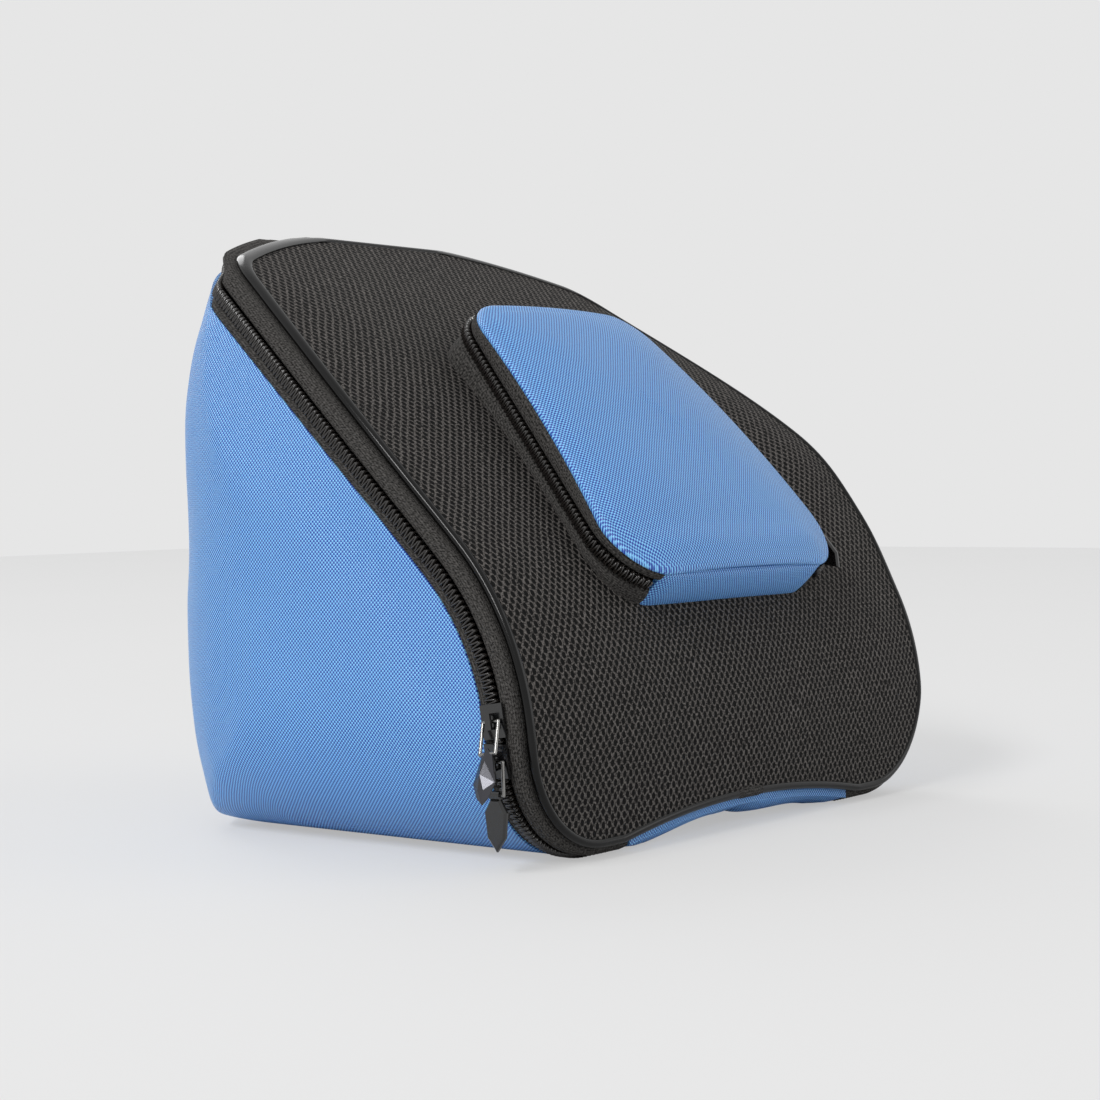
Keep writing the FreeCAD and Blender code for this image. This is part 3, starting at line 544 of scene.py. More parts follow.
@dataclass(frozen=True)
class Finish:
    """A material with one shader, made for one real material and the way its surface was made.

    Attributes:
        name: The real material and process.
        colour: The sRGB colour as hex, or the brighter of two where a pattern mixes them.
        roughness: The shader's roughness.
        metallic: 1 for bare or plated metal.
        sheen: Weight of the sheen of fine fibres.
        coat: Weight of a lacquer coat.
        specular: The shader's specular level.
    """
    name: str
    colour: str
    roughness: float = 0.6
    metallic: float = 0.0
    sheen: float = 0.0
    coat: float = 0.0
    specular: float = 0.5

    def material(self) -> bpy.types.Material:
        """Return the finished material.

        Returns:
            The material, made at the first call and found again later.
        """
        found = bpy.data.materials.get(self.name)
        if found:
            return found
        made = bpy.data.materials.new(self.name)
        made.use_nodes = True
        tree = made.node_tree
        shader = tree.nodes["Principled BSDF"]
        plain = {"Base Color": linear(self.colour), "Roughness": self.roughness, "Metallic": self.metallic,
                 "Sheen Weight": self.sheen, "Sheen Roughness": 0.4, "Coat Weight": self.coat,
                 "Coat Roughness": 0.08, "Specular IOR Level": self.specular}
        for socket, value in plain.items():
            shader.inputs[socket].default_value = value
        self.dress(tree, shader)
        return made

    def dress(self, tree: bpy.types.NodeTree, shader: bpy.types.Node) -> None:
        """Add a faint unevenness of gloss, as any made surface has.

        Args:
            tree: The material's node tree.
            shader: Its shader.
        """
        place = add(tree, "TexCoord").outputs["Object"]
        cloud = add(tree, "TexNoise", {"Vector": place, "Scale": 180.0, "Detail": 3.0}).outputs["Fac"]
        spread = add(tree, "MapRange", {"Value": cloud, "To Min": self.roughness * 0.85,
                                        "To Max": min(1.0, self.roughness * 1.2)})
        tree.links.new(spread.outputs["Result"], shader.inputs["Roughness"])
        self.raise_relief(tree, shader, cloud, 0.12, 0.05 * MM)

    def mix(self, tree: bpy.types.NodeTree, share: bpy.types.NodeSocket, dark: str) -> bpy.types.NodeSocket:
        """Mix a darker colour with the finish's own.

        Args:
            tree: The material's node tree.
            share: How much of the finish's own colour shows.
            dark: The darker sRGB colour.

        Returns:
            The mixed colour.
        """
        return add(tree, "Mix", {"Factor": share, 6: linear(dark), 7: linear(self.colour)},
                   data_type="RGBA").outputs[2]

    def raise_relief(self, tree: bpy.types.NodeTree, shader: bpy.types.Node, height: bpy.types.NodeSocket,
                     strength: float, distance: float) -> None:
        """Give the shader a fine relief.

        Args:
            tree: The material's node tree.
            shader: Its shader.
            height: The pattern's height.
            strength: The relief's strength.
            distance: The relief's depth in metres.
        """
        relief = add(tree, "Bump", {"Height": height, "Strength": strength, "Distance": distance})
        tree.links.new(relief.outputs["Normal"], shader.inputs["Normal"])

    def wandering(self, tree: bpy.types.NodeTree, scale: float, reach: float) -> bpy.types.NodeSocket:
        """Return the cloth's own coordinates, wandering a little as hand-fed cloth does.

        Args:
            tree: The material's node tree.
            scale: The wandering's scale per metre.
            reach: How far it wanders, in metres.

        Returns:
            The coordinates.
        """
        place = add(tree, "UVMap", uv_map=UV_NAME).outputs["UV"]
        wander = add(tree, "TexNoise", {"Vector": place, "Scale": scale, "Detail": 1.0})
        drift = add(tree, "VectorMath", {0: wander.outputs["Color"], 1: (0.5, 0.5, 0.5)},
                    operation="SUBTRACT")
        drift = add(tree, "VectorMath", {0: drift.outputs[0], "Scale": reach}, operation="SCALE")
        return add(tree, "VectorMath", {0: place, 1: drift.outputs[0]}, operation="ADD").outputs[0]


@dataclass(frozen=True)
class WovenPolyester(Finish):
    """Coated polyester in a coarse plain weave: yarn crowns in rows painted bright as a highlight, and gaps
    between them painted darker as shade.

    Attributes:
        gap_shade_colour: The sRGB colour painted between the yarns as their shade.
        thread: The yarns' spacing.
        shade_depth: The relief's depth.
    """
    gap_shade_colour: str = "#0638A0"
    thread: float = 0.72 * MM
    shade_depth: float = 0.28 * MM

    def dress(self, tree: bpy.types.NodeTree, shader: bpy.types.Node) -> None:
        """Add the weave's colour and relief, with painted highlight on the yarn crowns and painted shade in
        the gaps, and a broad soft variation of shade.

        Args:
            tree: The material's node tree.
            shader: Its shader.
        """
        place = self.wandering(tree, 40.0, 0.6 * MM)
        parts = add(tree, "SeparateXYZ", {0: place})
        yarns = []
        for axis in ("X", "Y"):
            turn = add(tree, "Math", {0: parts.outputs[axis], 1: math.pi / self.thread}, operation="MULTIPLY")
            yarns.append(add(tree, "Math", {0: turn.outputs[0]}, operation="SINE").outputs[0])
        crossing = add(tree, "Math", {0: yarns[0], 1: yarns[1]}, operation="MULTIPLY").outputs[0]
        crown = add(tree, "Math", {0: crossing}, operation="ABSOLUTE").outputs[0]
        # Painted highlight and shade: the yarn crowns are painted bright and the gaps between them dark.
        bright = add(tree, "Math", {0: crossing, 1: 2.1, 2: 0.42}, operation="MULTIPLY_ADD").outputs[0]
        cloud = add(tree, "TexNoise", {"Vector": place, "Scale": 9.0, "Detail": 2.0}).outputs["Fac"]
        shade = add(tree, "Math", {0: cloud, 1: 0.3, 2: -0.15}, operation="MULTIPLY_ADD").outputs[0]
        bright = add(tree, "Math", {0: bright, 1: shade}, operation="ADD", use_clamp=True).outputs[0]
        tree.links.new(self.mix(tree, bright, self.gap_shade_colour), shader.inputs["Base Color"])
        self.raise_relief(tree, shader, crown, 0.7, self.shade_depth)


@dataclass(frozen=True)
class SpacerMesh(Finish):
    """Knitted spacer mesh: charcoal threads round staggered openings painted near black, for the dark layer
    behind and painted shade in them.

    Attributes:
        hole_dark_and_shade_colour: The sRGB colour painted in the openings: the dark layer behind, with
            painted shade.
        thread_dark: The sRGB colour between the knit's loops.
        across: Spacing of the openings across the cloth.
        along: Their spacing along it.
        hole: An opening's half width.
    """
    hole_dark_and_shade_colour: str = "#020202"
    thread_dark: str = "#151413"
    across: float = 3.3 * MM
    along: float = 4.4 * MM
    hole: float = 0.92 * MM

    def dress(self, tree: bpy.types.NodeTree, shader: bpy.types.Node) -> None:
        """Add the two staggered rows of openings, painted near black with their shade, their depth and the
        threads' knit.

        Args:
            tree: The material's node tree.
            shader: Its shader.
        """
        place = self.wandering(tree, 55.0, 1.4 * MM)
        cell = (self.across, self.along, 1.0)
        grid = add(tree, "VectorMath", {0: place, 1: cell}, operation="DIVIDE").outputs[0]
        near = []
        for shift in (0.0, 0.5):
            moved = add(tree, "VectorMath", {0: grid, 1: (shift, shift, 0.0)}, operation="ADD").outputs[0]
            part = add(tree, "VectorMath", {0: moved}, operation="FRACTION").outputs[0]
            centred = add(tree, "VectorMath", {0: part, 1: (0.5, 0.5, 0.0)}, operation="SUBTRACT").outputs[0]
            flat = add(tree, "VectorMath", {0: centred, 1: (self.across, self.along * 0.78, 0.0)},
                       operation="MULTIPLY").outputs[0]
            near.append(add(tree, "VectorMath", {0: flat}, operation="LENGTH").outputs["Value"])
        rim = add(tree, "Math", {0: near[0], 1: near[1]}, operation="MINIMUM").outputs[0]
        edge = {"Value": rim, "From Min": self.hole * 0.8, "From Max": self.hole * 1.15}
        solid = add(tree, "MapRange", edge, interpolation_type="SMOOTHSTEP").outputs["Result"]
        # A knit finer than 0.7 mm would vanish at a few steps' distance, so it is drawn at that size.
        knit = add(tree, "TexNoise", {"Vector": place, "Scale": 1500.0, "Detail": 2.0}).outputs["Fac"]
        knit = add(tree, "MapRange", {"Value": knit, "From Min": 0.36, "From Max": 0.64}).outputs["Result"]
        thread = self.mix(tree, knit, self.thread_dark)
        # The openings are painted near black: the dark layer behind, with painted shade in them.
        mixed = add(tree, "Mix", {"Factor": solid, 6: linear(self.hole_dark_and_shade_colour), 7: thread}, data_type="RGBA")
        tree.links.new(mixed.outputs[2], shader.inputs["Base Color"])
        height = add(tree, "Math", {0: knit, 1: 0.12, 2: solid}, operation="MULTIPLY_ADD").outputs[0]
        self.raise_relief(tree, shader, height, 0.9, 0.6 * MM)


@dataclass(frozen=True)
class WovenTape(Finish):
    """Zipper tape: close woven ribs that run along it, painted darker where their relief is low as shade.

    Attributes:
        dark: The sRGB colour between the ribs, painted shade.
        rib: The ribs' spacing.
        twill: The diagonal's spacing.
    """
    dark: str = "#141312"
    rib: float = 0.9 * MM
    twill: float = 0.8 * MM

    def dress(self, tree: bpy.types.NodeTree, shader: bpy.types.Node) -> None:
        """Add the ribs and the fine diagonal of the weave, over a random grain, with painted shade where the
        relief is low.

        Args:
            tree: The material's node tree.
            shader: Its shader.
        """
        place = add(tree, "UVMap", uv_map=UV_NAME).outputs["UV"]
        parts = add(tree, "SeparateXYZ", {0: place})
        slant = add(tree, "Math", {0: parts.outputs["X"], 1: parts.outputs["Y"]}, operation="ADD").outputs[0]
        waves = []
        for line, spacing in ((parts.outputs["Y"], self.rib), (slant, self.twill)):
            turn = add(tree, "Math", {0: line, 1: math.tau / spacing}, operation="MULTIPLY").outputs[0]
            waves.append(add(tree, "Math", {0: turn}, operation="SINE").outputs[0])
        grain = add(tree, "TexNoise", {"Vector": place, "Scale": 1300.0, "Detail": 2.0}).outputs["Fac"]
        grain = add(tree, "MapRange", {"Value": grain, "From Min": 0.34, "From Max": 0.66}).outputs["Result"]
        ribbed = add(tree, "Math", {0: waves[0], 1: 0.16, 2: grain}, operation="MULTIPLY_ADD").outputs[0]
        height = add(tree, "Math", {0: waves[1], 1: 0.12, 2: ribbed}, operation="MULTIPLY_ADD").outputs[0]
        # Painted shade: the colour is darker where the relief is low, over the random grain.
        shade = add(tree, "MapRange", {"Value": height, "From Min": 0.0, "From Max": 1.2}).outputs["Result"]
        tree.links.new(self.mix(tree, shade, self.dark), shader.inputs["Base Color"])
        self.raise_relief(tree, shader, height, 0.6, 0.15 * MM)


@dataclass(frozen=True)
class LiningTaffeta(Finish):
    """Plain woven lining with a faint crease shade.

    Attributes:
        dark: The sRGB colour in the creases.
    """
    dark: str = "#1B1C1E"

    def dress(self, tree: bpy.types.NodeTree, shader: bpy.types.Node) -> None:
        """Add a fine weave and broad creases on Object coordinates.

        Args:
            tree: The material's node tree.
            shader: Its shader.
        """
        place = add(tree, "TexCoord").outputs["Object"]
        crease = add(tree, "TexNoise", {"Vector": place, "Scale": 22.0, "Detail": 3.0}).outputs["Fac"]
        fine = add(tree, "TexNoise", {"Vector": place, "Scale": 1400.0, "Detail": 1.0}).outputs["Fac"]
        height = add(tree, "Math", {0: crease, 1: 2.0, 2: fine}, operation="MULTIPLY_ADD").outputs[0]
        tree.links.new(self.mix(tree, crease, self.dark), shader.inputs["Base Color"])
        self.raise_relief(tree, shader, height, 0.4, 0.3 * MM)


# Coated polyester cloth: yarn crowns painted pale as a highlight over gaps painted deep blue as shade, with a
# slight gloss on each crown.
BLUE_FABRIC = WovenPolyester("WovenPolyesterBlue", "#80C8FC", roughness=0.34, specular=0.6)
# Warp-knitted spacer cloth: a matt charcoal net whose openings are painted black for the dark layer behind
# and painted shade.
MESH_FABRIC = SpacerMesh("KnittedSpacerMeshBlack", "#6A6663", roughness=0.8, specular=0.15)
# Woven polyester zipper tape: matt, dark and speckled, with lines along it whose hollows are painted darker
# as shade.
TAPE_FABRIC = WovenTape("WovenTapeCharcoal", "#555351", roughness=0.85, specular=0.15)
# Moulded nylon coil: near black, with a small bright glint on every turn.
COIL_NYLON = Finish("MouldedNylonBlack", "#1E1B19", roughness=0.25, specular=0.7)
# Extruded vinyl cord: black, with one thin line of light along it.
PIPING_VINYL = Finish("ExtrudedVinylGlossBlack", "#030303", roughness=0.16, specular=0.28)
# Taffeta lining: dark graphite with soft creases.
LINING_CLOTH = LiningTaffeta("WovenTaffetaGraphite", "#2D2E31", roughness=0.7, sheen=0.1)
# Cut polyurethane foam: dull grey.
FOAM_SHEET = Finish("CutFoamGrey", "#9A9CA0", roughness=0.9)
# Extruded polyethylene board: black with a low waxy gloss.
BOARD_SHEET = Finish("ExtrudedPolyethyleneBlack", "#1C1C1E", roughness=0.5)
# Die-cast zinc under black lacquer: deep black with a clear wet gloss.
ZINC_BLACK = Finish("LacqueredZincBlack", "#0C0C0D", roughness=0.22, coat=0.5)
# Die-cast zinc, plated gunmetal: dark metal whose facets turn bright one by one.
ZINC_GUNMETAL = Finish("PlatedZincGunmetal", "#4C4C50", roughness=0.2, metallic=1.0)
# Drawn wire, nickel plated: bright silver lines.
WIRE_NICKEL = Finish("DrawnWireNickel", "#8B8A88", roughness=0.2, metallic=1.0)


# ------------------------------------------------------------------------------------- pieces
class Body(str, Enum):
    """The moving bodies that pieces ride on."""
    BASE = "base"
    LID = "lid"
    COVER = "pocket_cover"
    UPPER_PULL = "upper_pull"


def mesh_of(bm: BMesh, name: str) -> bpy.types.Mesh:
    """Return a mesh made from a bmesh.

    Args:
        bm: The bmesh, freed here.
        name: The mesh's name.

    Returns:
        The new mesh.
    """
    mesh = bpy.data.meshes.new(name)
    bm.to_mesh(mesh)
    bm.free()
    return mesh


def opened(mesh: bpy.types.Mesh) -> BMesh:
    """Return a bmesh with a mesh's contents.

    Args:
        mesh: The mesh, left as it is.

    Returns:
        The new bmesh.
    """
    bm = bmesh.new()
    bm.from_mesh(mesh)
    return bm


def placed(name: str, data: bpy.types.ID) -> bpy.types.Object:
    """Put an object into the scene.

    Args:
        name: The object's name.
        data: Its mesh, lamp or camera.

    Returns:
        The new object.
    """
    thing = bpy.data.objects.new(name, data)
    bpy.context.scene.collection.objects.link(thing)
    return thing


def publish(bm: BMesh, name: str, finish: Finish, body: Body, replaced: Iterable[str] = (),
            smooth_below: float = 50.0, bend: tuple[Body, Vector, Vector] | None = None) -> bpy.types.Object:
    """Turn a bmesh into a piece that rides on a body, and report it.

    Args:
        bm: The mesh in the bag's frame, freed here.
        name: The piece's name.
        finish: Its material.
        body: The body that it rides on.
        replaced: The solids that it stands for.
        smooth_below: Edges flatter than this many degrees are shaded smooth.
        bend: For fabric across a joint, the other body and where the bend starts and ends; these values are
            not used, and when it is given the piece stays in the bag's frame on no body.

    Returns:
        The new object.
    """
    sharp = math.radians(smooth_below)
    for vert in bm.verts:
        vert.co = FULLNESS.carried(vert.co)
    for face in bm.faces:
        face.smooth = True
    for edge in bm.edges:
        edge.smooth = not (len(edge.link_faces) == 2 and edge.calc_face_angle(0.0) > sharp)
    mesh = mesh_of(bm, name)
    mesh.materials.append(finish.material())
    piece = placed(name, mesh)
    if bend:
        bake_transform(piece)
    else:
        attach(piece, body.value)
    if replaced:
        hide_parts(*replaced)
    LOG.info("%s: %d faces on %s", name, len(mesh.polygons), body.value)
    return piece


class Sweep:
    """Extrudes a chain of edges from ring to ring and gives each face its cloth coordinates."""

    def __init__(self, ring: Sequence[Vector]) -> None:
        """Start with the first ring.

        Args:
            ring: The first closed ring's points.
        """
        self.bm = bmesh.new()
        self.layer = self.bm.loops.layers.uv.new(UV_NAME)
        self.verts = [self.bm.verts.new(p) for p in ring]
        ends = self.verts[1:] + self.verts[:1]
        self.edges: list[BMEdge] = [self.bm.edges.new(pair) for pair in zip(self.verts, ends)]
        self.first = (list(self.verts), list(self.edges))
        self.across = [0.0]
        for a, b in zip(ring, list(ring[1:]) + [ring[0]]):
            self.across.append(self.across[-1] + (b - a).length)
        self.along = 0.0
        self.middle = sum(ring, Vector()) / len(ring)

    def advance(self, ring: Sequence[Vector]) -> None:
        """Extrude the last ring to the next one.

        Args:
            ring: The next ring's points.
        """
        index = {vert: k for k, vert in enumerate(self.verts)}
        made = bmesh.ops.extrude_edge_only(self.bm, edges=self.edges)["geom"]
        fresh: list[BMVert] = [None] * len(self.verts)
        number: dict[BMVert, int] = {}
        for item in made:
            if isinstance(item, BMVert):
                for edge in item.link_edges:
                    old = edge.other_vert(item)
                    if old in index:
                        fresh[index[old]] = item
                        number[item] = index[old]
        for vert, point in zip(fresh, ring):
            vert.co = point
        middle = sum(ring, Vector()) / len(ring)
        step = (middle - self.middle).length
        last = len(self.verts) - 1
        for face in [item for item in made if isinstance(item, BMFace)]:
            kinds = {index.get(v, number.get(v)) for v in face.verts}
            wraps = kinds == {0, last}
            for loop in face.loops:
                new = loop.vert in number
                k = number[loop.vert] if new else index[loop.vert]
                side = self.across[-1] if wraps and k == 0 else self.across[k]
                loop[self.layer].uv = (self.along + (step if new else 0.0), side)
        self.along += step
        self.middle = middle
        self.verts = fresh
        self.edges = [item for item in made if isinstance(item, BMEdge)
                      and item.verts[0] in number and item.verts[1] in number]

    def join_ends(self) -> None:
        """Weld the last ring to the first one."""
        bmesh.ops.weld_verts(self.bm, targetmap=dict(zip(self.verts, self.first[0])))

    def cap(self) -> None:
        """Close both ends with a face each."""
        for edges in (self.first[1], self.edges):
            bmesh.ops.contextual_create(self.bm, geom=edges)

    def finish(self) -> BMesh:
        """Return the mesh with its faces turned outwards."""
        bmesh.ops.recalc_face_normals(self.bm, faces=self.bm.faces)
        return self.bm


def swept(rings: Sequence[Sequence[Vector]], loop: bool) -> BMesh:
    """Return the closed form swept through rings.

    Args:
        rings: The section at each stop.
        loop: Whether the last stop leads back to the first.

    Returns:
        The mesh, capped at its ends where it doesn't loop.
    """
    sweep = Sweep(rings[0])
    for ring in rings[1:]:
        sweep.advance(ring)
    if loop:
        sweep.advance(rings[0])
        sweep.join_ends()
    else:
        sweep.cap()
    return sweep.finish()


def section(stop: Station, corners: Sequence[tuple[float, float]]) -> list[Vector]:
    """Return a band's section at a stop from pairs of inset and depth."""
    return [FORM.point(stop, inset, depth) for inset, depth in corners]


def zipped_stops() -> list[Station]:
    """Return the stops that have a zipper.

    Returns:
        The stops from the right end of the plain stretch round to its left end.
    """
    half = BAND.hinge_half
    stops = [s for s in FORM.stations() if not (s.under and abs(s.x) < half)]
    start = next(k for k, s in enumerate(stops) if s.under and s.x > 0)
    stops = stops[start:] + stops[:start]
    ends = [Station(sign * half, 0.0, 0.0, -1.0, True) for sign in (1, -1)]
    return [ends[0]] + stops + [ends[1]]


class Track:
    """A line that evenly spaced pieces follow, each with its own directions."""

    def __init__(self, points: Sequence[Vector], outs: Sequence[Vector]) -> None:
        """Measure the line.

        Args:
            points: The line's points.
            outs: The outward direction at each point.
        """
        self.points = list(points)
        self.outs = list(outs)
        self.lengths = [0.0]
        for a, b in zip(self.points, self.points[1:]):
            self.lengths.append(self.lengths[-1] + (b - a).length)

    @property
    def length(self) -> float:
        """Return the line's whole length."""
        return self.lengths[-1]

    def frame_at(self, distance: float) -> Matrix:
        """Return the place and the directions at a distance.

        Args:
            distance: Distance along the line from its start.

        Returns:
            The matrix whose X runs along the line, Y across it and Z outwards.
        """
        k = min(max(bisect.bisect_right(self.lengths, distance) - 1, 0), len(self.points) - 2)
        share = (distance - self.lengths[k]) / max(self.lengths[k + 1] - self.lengths[k], 1e-9)
        place = self.points[k].lerp(self.points[k + 1], share)
        along = (self.points[min(k + 2, len(self.points) - 1)] - self.points[max(k - 1, 0)]).normalized()
        out = self.outs[k].lerp(self.outs[k + 1], share)
        out = (out - along * out.dot(along)).normalized()
        return Matrix.Translation(place) @ Matrix((along, out.cross(along), out)).transposed().to_4x4()


@dataclass(frozen=True)
class Coil:
    """The two rows of nylon turns that make one zipper's chain.

    Attributes:
        pitch: Distance between the turns of a row.
        reach: How far a turn reaches from its tape to just past the middle line.
        thickness: The nylon's thickness along the chain.
        height: A turn's height.
        sewn: Distance of a turn's sewn end from the middle line.
        lean: How far a turn leans along the chain.
    """
    pitch: float = 2.1 * MM
    reach: float = 4.3 * MM
    thickness: float = 0.777 * MM
    height: float = 2.4 * MM
    sewn: float = 2.35 * MM
    lean: float = math.radians(9)

    def build(self, track: Track, side: int, rows: Sequence[tuple[str, Body, str]]) -> None:
        """Build both rows, the second on the other side and half a pitch further on.

        Args:
            track: The chain's middle line.
            side: 1 or -1, the side of the track that the first row is sewn to.
            rows: Each row's name, body and the solid that it stands for.
        """
        for k, (name, body, node) in enumerate(rows):
            row = self.row(track, -side if k else side, self.pitch * k / 2)
            publish(row, name, COIL_NYLON, body, (node,))

    def row(self, track: Track, side: int, shift: float) -> BMesh:
        """Return the turns on one side of a chain.

        Args:
            track: The chain's middle line.
            side: 1 or -1, the side that the turns are sewn to.
            shift: Shift along the chain.

        Returns:
            The mesh of all the turns.
        """
        form = self.turn()
        bm = bmesh.new()
        turned = side * self.lean + (math.pi if side > 0 else 0.0)
        local = Matrix.Translation((0, side * self.sewn, 0)) @ Matrix.Rotation(turned, 4, "Z")
        for k in range(int((track.length - 2 * self.pitch) / self.pitch)):
            copy = form.copy()
            copy.transform(track.frame_at(self.pitch + shift + k * self.pitch) @ local)
            bm.from_mesh(copy)
            bpy.data.meshes.remove(copy)
        bpy.data.meshes.remove(form)
        return bm

    def turn(self) -> bpy.types.Mesh:
        """Return one turn, a rounded loop that crosses the chain.

        Returns:
            The template mesh, with a few dozen faces.
        """
        bm = bmesh.new()
        bmesh.ops.create_cube(bm, size=1.0)
        bmesh.ops.scale(bm, vec=(self.thickness, self.reach, self.height), verts=bm.verts)
        bmesh.ops.translate(bm, vec=(0, self.reach / 2, 0), verts=bm.verts)
        bmesh.ops.bevel(bm, geom=list(bm.edges), offset=self.thickness * 0.42, offset_type="OFFSET",
                        segments=1, profile=0.5, affect="EDGES", material=-1, clamp_overlap=True)
        return mesh_of(bm, "coil_turn")


COIL = Coil()


# ------------------------------------------------------------------------------------- cloth
PADDING_PRESSURE = 4.0
PADDING_STEPS = 4


def bake(piece: bpy.types.Object) -> None:
    """Apply all of a piece's modifiers to its mesh.

    Args:
        piece: The object.
    """
    graph = bpy.context.evaluated_depsgraph_get()
    graph.update()
    made = bpy.data.meshes.new_from_object(piece.evaluated_get(graph))
    piece.modifiers.clear()
    old = piece.data
    piece.data = made
    bpy.data.meshes.remove(old)


def puff(piece: bpy.types.Object, freedom: Callable[[Vector], float], cap: float, frames: int) -> None:
    """Swell padding with a short cloth simulation under pressure.

    Args:
        piece: The closed form.
        freedom: Gives 0 where the cloth is sewn down and 1 where it is free.
        cap: The furthest that a free point may move.
        frames: The simulation's length.
    """
    rest = [v.co.copy() for v in piece.data.vertices]
    group = piece.vertex_groups.new(name="sewn")
    for k, point in enumerate(rest):
        if freedom(point) < 1.0:
            group.add([k], 1.0 - freedom(point), "REPLACE")
    cloth = piece.modifiers.new("cloth", "CLOTH")
    cloth.settings.use_pressure = True
    cloth.settings.uniform_pressure_force = PADDING_PRESSURE
    cloth.settings.effector_weights.gravity = 0.0
    cloth.settings.vertex_group_mass = group.name
    cloth.settings.quality = PADDING_STEPS
    for number in range(1, frames + 1):
        bpy.context.scene.frame_set(number)
    bake(piece)
    bpy.context.scene.frame_set(1)
    for vert, start in zip(piece.data.vertices, rest):
        move = vert.co - start
        limit = cap * freedom(start)
        if move.length > limit:
            move *= limit / move.length
        vert.co = start + move
    piece.vertex_groups.clear()


# ------------------------------------------------------------------------------------- bag body
@dataclass
class BagBody:
    """The padded fabric body with its lining."""
    wall: float = 4.4 * MM
    lining_wall: float = 0.8 * MM
    voxel: float = 5.0 * MM
    swell: float = 3.5 * MM
    swell_frames: int = 14
    lining_gap: float = 5.0 * MM
    slack: float = 1.5 * MM
    pucker: float = 0.35 * MM
    weld: float = 0.05 * MM

    def build(self) -> None:
        """Build the shell and the lining."""
        shell = self.shell("bag_shell_form", 0.0)
        self._open(shell, BAND.panel, self.wall)
        piece = self._publish(shell, "bag_shell", BLUE_FABRIC,
                              ("left_side_panel", "back_panel", "right_side_panel", "bottom_panel",
                               "left_side_foam", "back_foam", "right_side_foam"))
        inner = self.shell("bag_liner_form", self.lining_gap)
        self._open(inner, BAND.panel + 2.5 * MM, self.lining_wall)
        liner = self._publish(inner, "bag_liner", LINING_CLOTH, ("bag_lining",))

    def shell(self, name: str, inset: float) -> bpy.types.Object:
        """Return the body's outer form as an even closed mesh.

        Args:
            name: The object's name.
            inset: How far it lies inside the outer form; the padding swells only where it is 0.

        Returns:
            The object, with its modifiers applied.
        """
        bm = bmesh.new()
        for point in FORM.outer_points():
            bm.verts.new(point)
        hull = bmesh.ops.convex_hull(bm, input=list(bm.verts), use_existing_faces=False)
        outer = {item for item in hull["geom"] if isinstance(item, BMFace)}
        bmesh.ops.delete(bm, geom=[f for f in bm.faces if f not in outer], context="FACES_ONLY")
        bmesh.ops.delete(bm, geom=[v for v in bm.verts if not v.link_faces], context="VERTS")
        surface = BVHTree.FromBMesh(bm)
        piece = placed(name, mesh_of(bm, name))
        even = piece.modifiers.new("even", "REMESH")
        even.mode = "VOXEL"
        even.voxel_size = self.voxel
        bake(piece)
        bm = opened(piece.data)
        for _ in range(4):
            bmesh.ops.smooth_vert(bm, verts=bm.verts, factor=0.5, use_axis_x=True, use_axis_y=True,
                                  use_axis_z=True)
            for vert in bm.verts:
                vert.co = surface.find_nearest(vert.co)[0]
        bm.to_mesh(piece.data)
        bm.free()
        if not inset:
            puff(piece, self.freedom, self.swell, self.swell_frames)
        self._settle(piece, inset)
        fine = piece.modifiers.new("fine", "SUBSURF")
        fine.levels = fine.render_levels = 1
        bake(piece)
        return piece

    def freedom(self, point: Vector) -> float:
        """Return how free the cloth is at a point.

        Args:
            point: A point on the body.

        Returns:
            0 at the zipper band and underneath, 1 away from them.
        """
        behind = point.y - FORM.face_y(point.z, BAND.panel)
        return held((behind - 4 * MM) / (26 * MM)) * held((point.z - 3 * MM) / (12 * MM))

    def _settle(self, piece: bpy.types.Object, inset: float) -> None:
        """Add the cloth's slack, draw the lining inwards and shape the underside's arch.

        Args:
            piece: The closed body or lining.
            inset: How far it lies inside the outer form.
        """
        middle = Vector((0, 20 * MM, 85 * MM))
        for vert in piece.data.vertices:
            point = vert.co
            if inset:
                point += (middle - point).normalized() * (inset * 1.25)
            else:
                slack = noise.noise(point * 20.0) * self.slack + noise.noise(point * 55.0) * self.pucker
                point += (point - middle).normalized() * (slack * self.freedom(point))
            arch = FORM.arch(point.x, point.y + FORM.depth / 2, inset)
            point.z = max(point.z, inset, arch)

    def _open(self, piece: bpy.types.Object, depth: float, wall: float) -> None:
        """Cut the body open along the zipper band and give the cloth its thickness.

        Args:
            piece: The closed body.
            depth: Depth below the lid's face of the opening's edge.
            wall: The cloth's and padding's thickness, inwards.
        """
        knife = placed("knife", mesh_of(self._knife(depth), "knife"))
        cut = piece.modifiers.new("cut", "BOOLEAN")
        cut.operation = "DIFFERENCE"
        cut.solver = "EXACT"
        cut.object = knife
        bake(piece)
        bpy.data.objects.remove(knife)
        bm = opened(piece.data)
        near = 0.25 * MM
        lid = [f for f in bm.faces if all(abs(v.co.y - FORM.face_y(v.co.z, depth)) < near for v in f.verts)]
        bmesh.ops.delete(bm, geom=lid, context="FACES")
        bmesh.ops.remove_doubles(bm, verts=bm.verts, dist=self.weld)
        bmesh.ops.dissolve_degenerate(bm, edges=bm.edges, dist=self.weld)
        bm.to_mesh(piece.data)
        bm.free()
        thick = piece.modifiers.new("thick", "SOLIDIFY")
        thick.thickness = wall
        thick.offset = -1.0
        bake(piece)

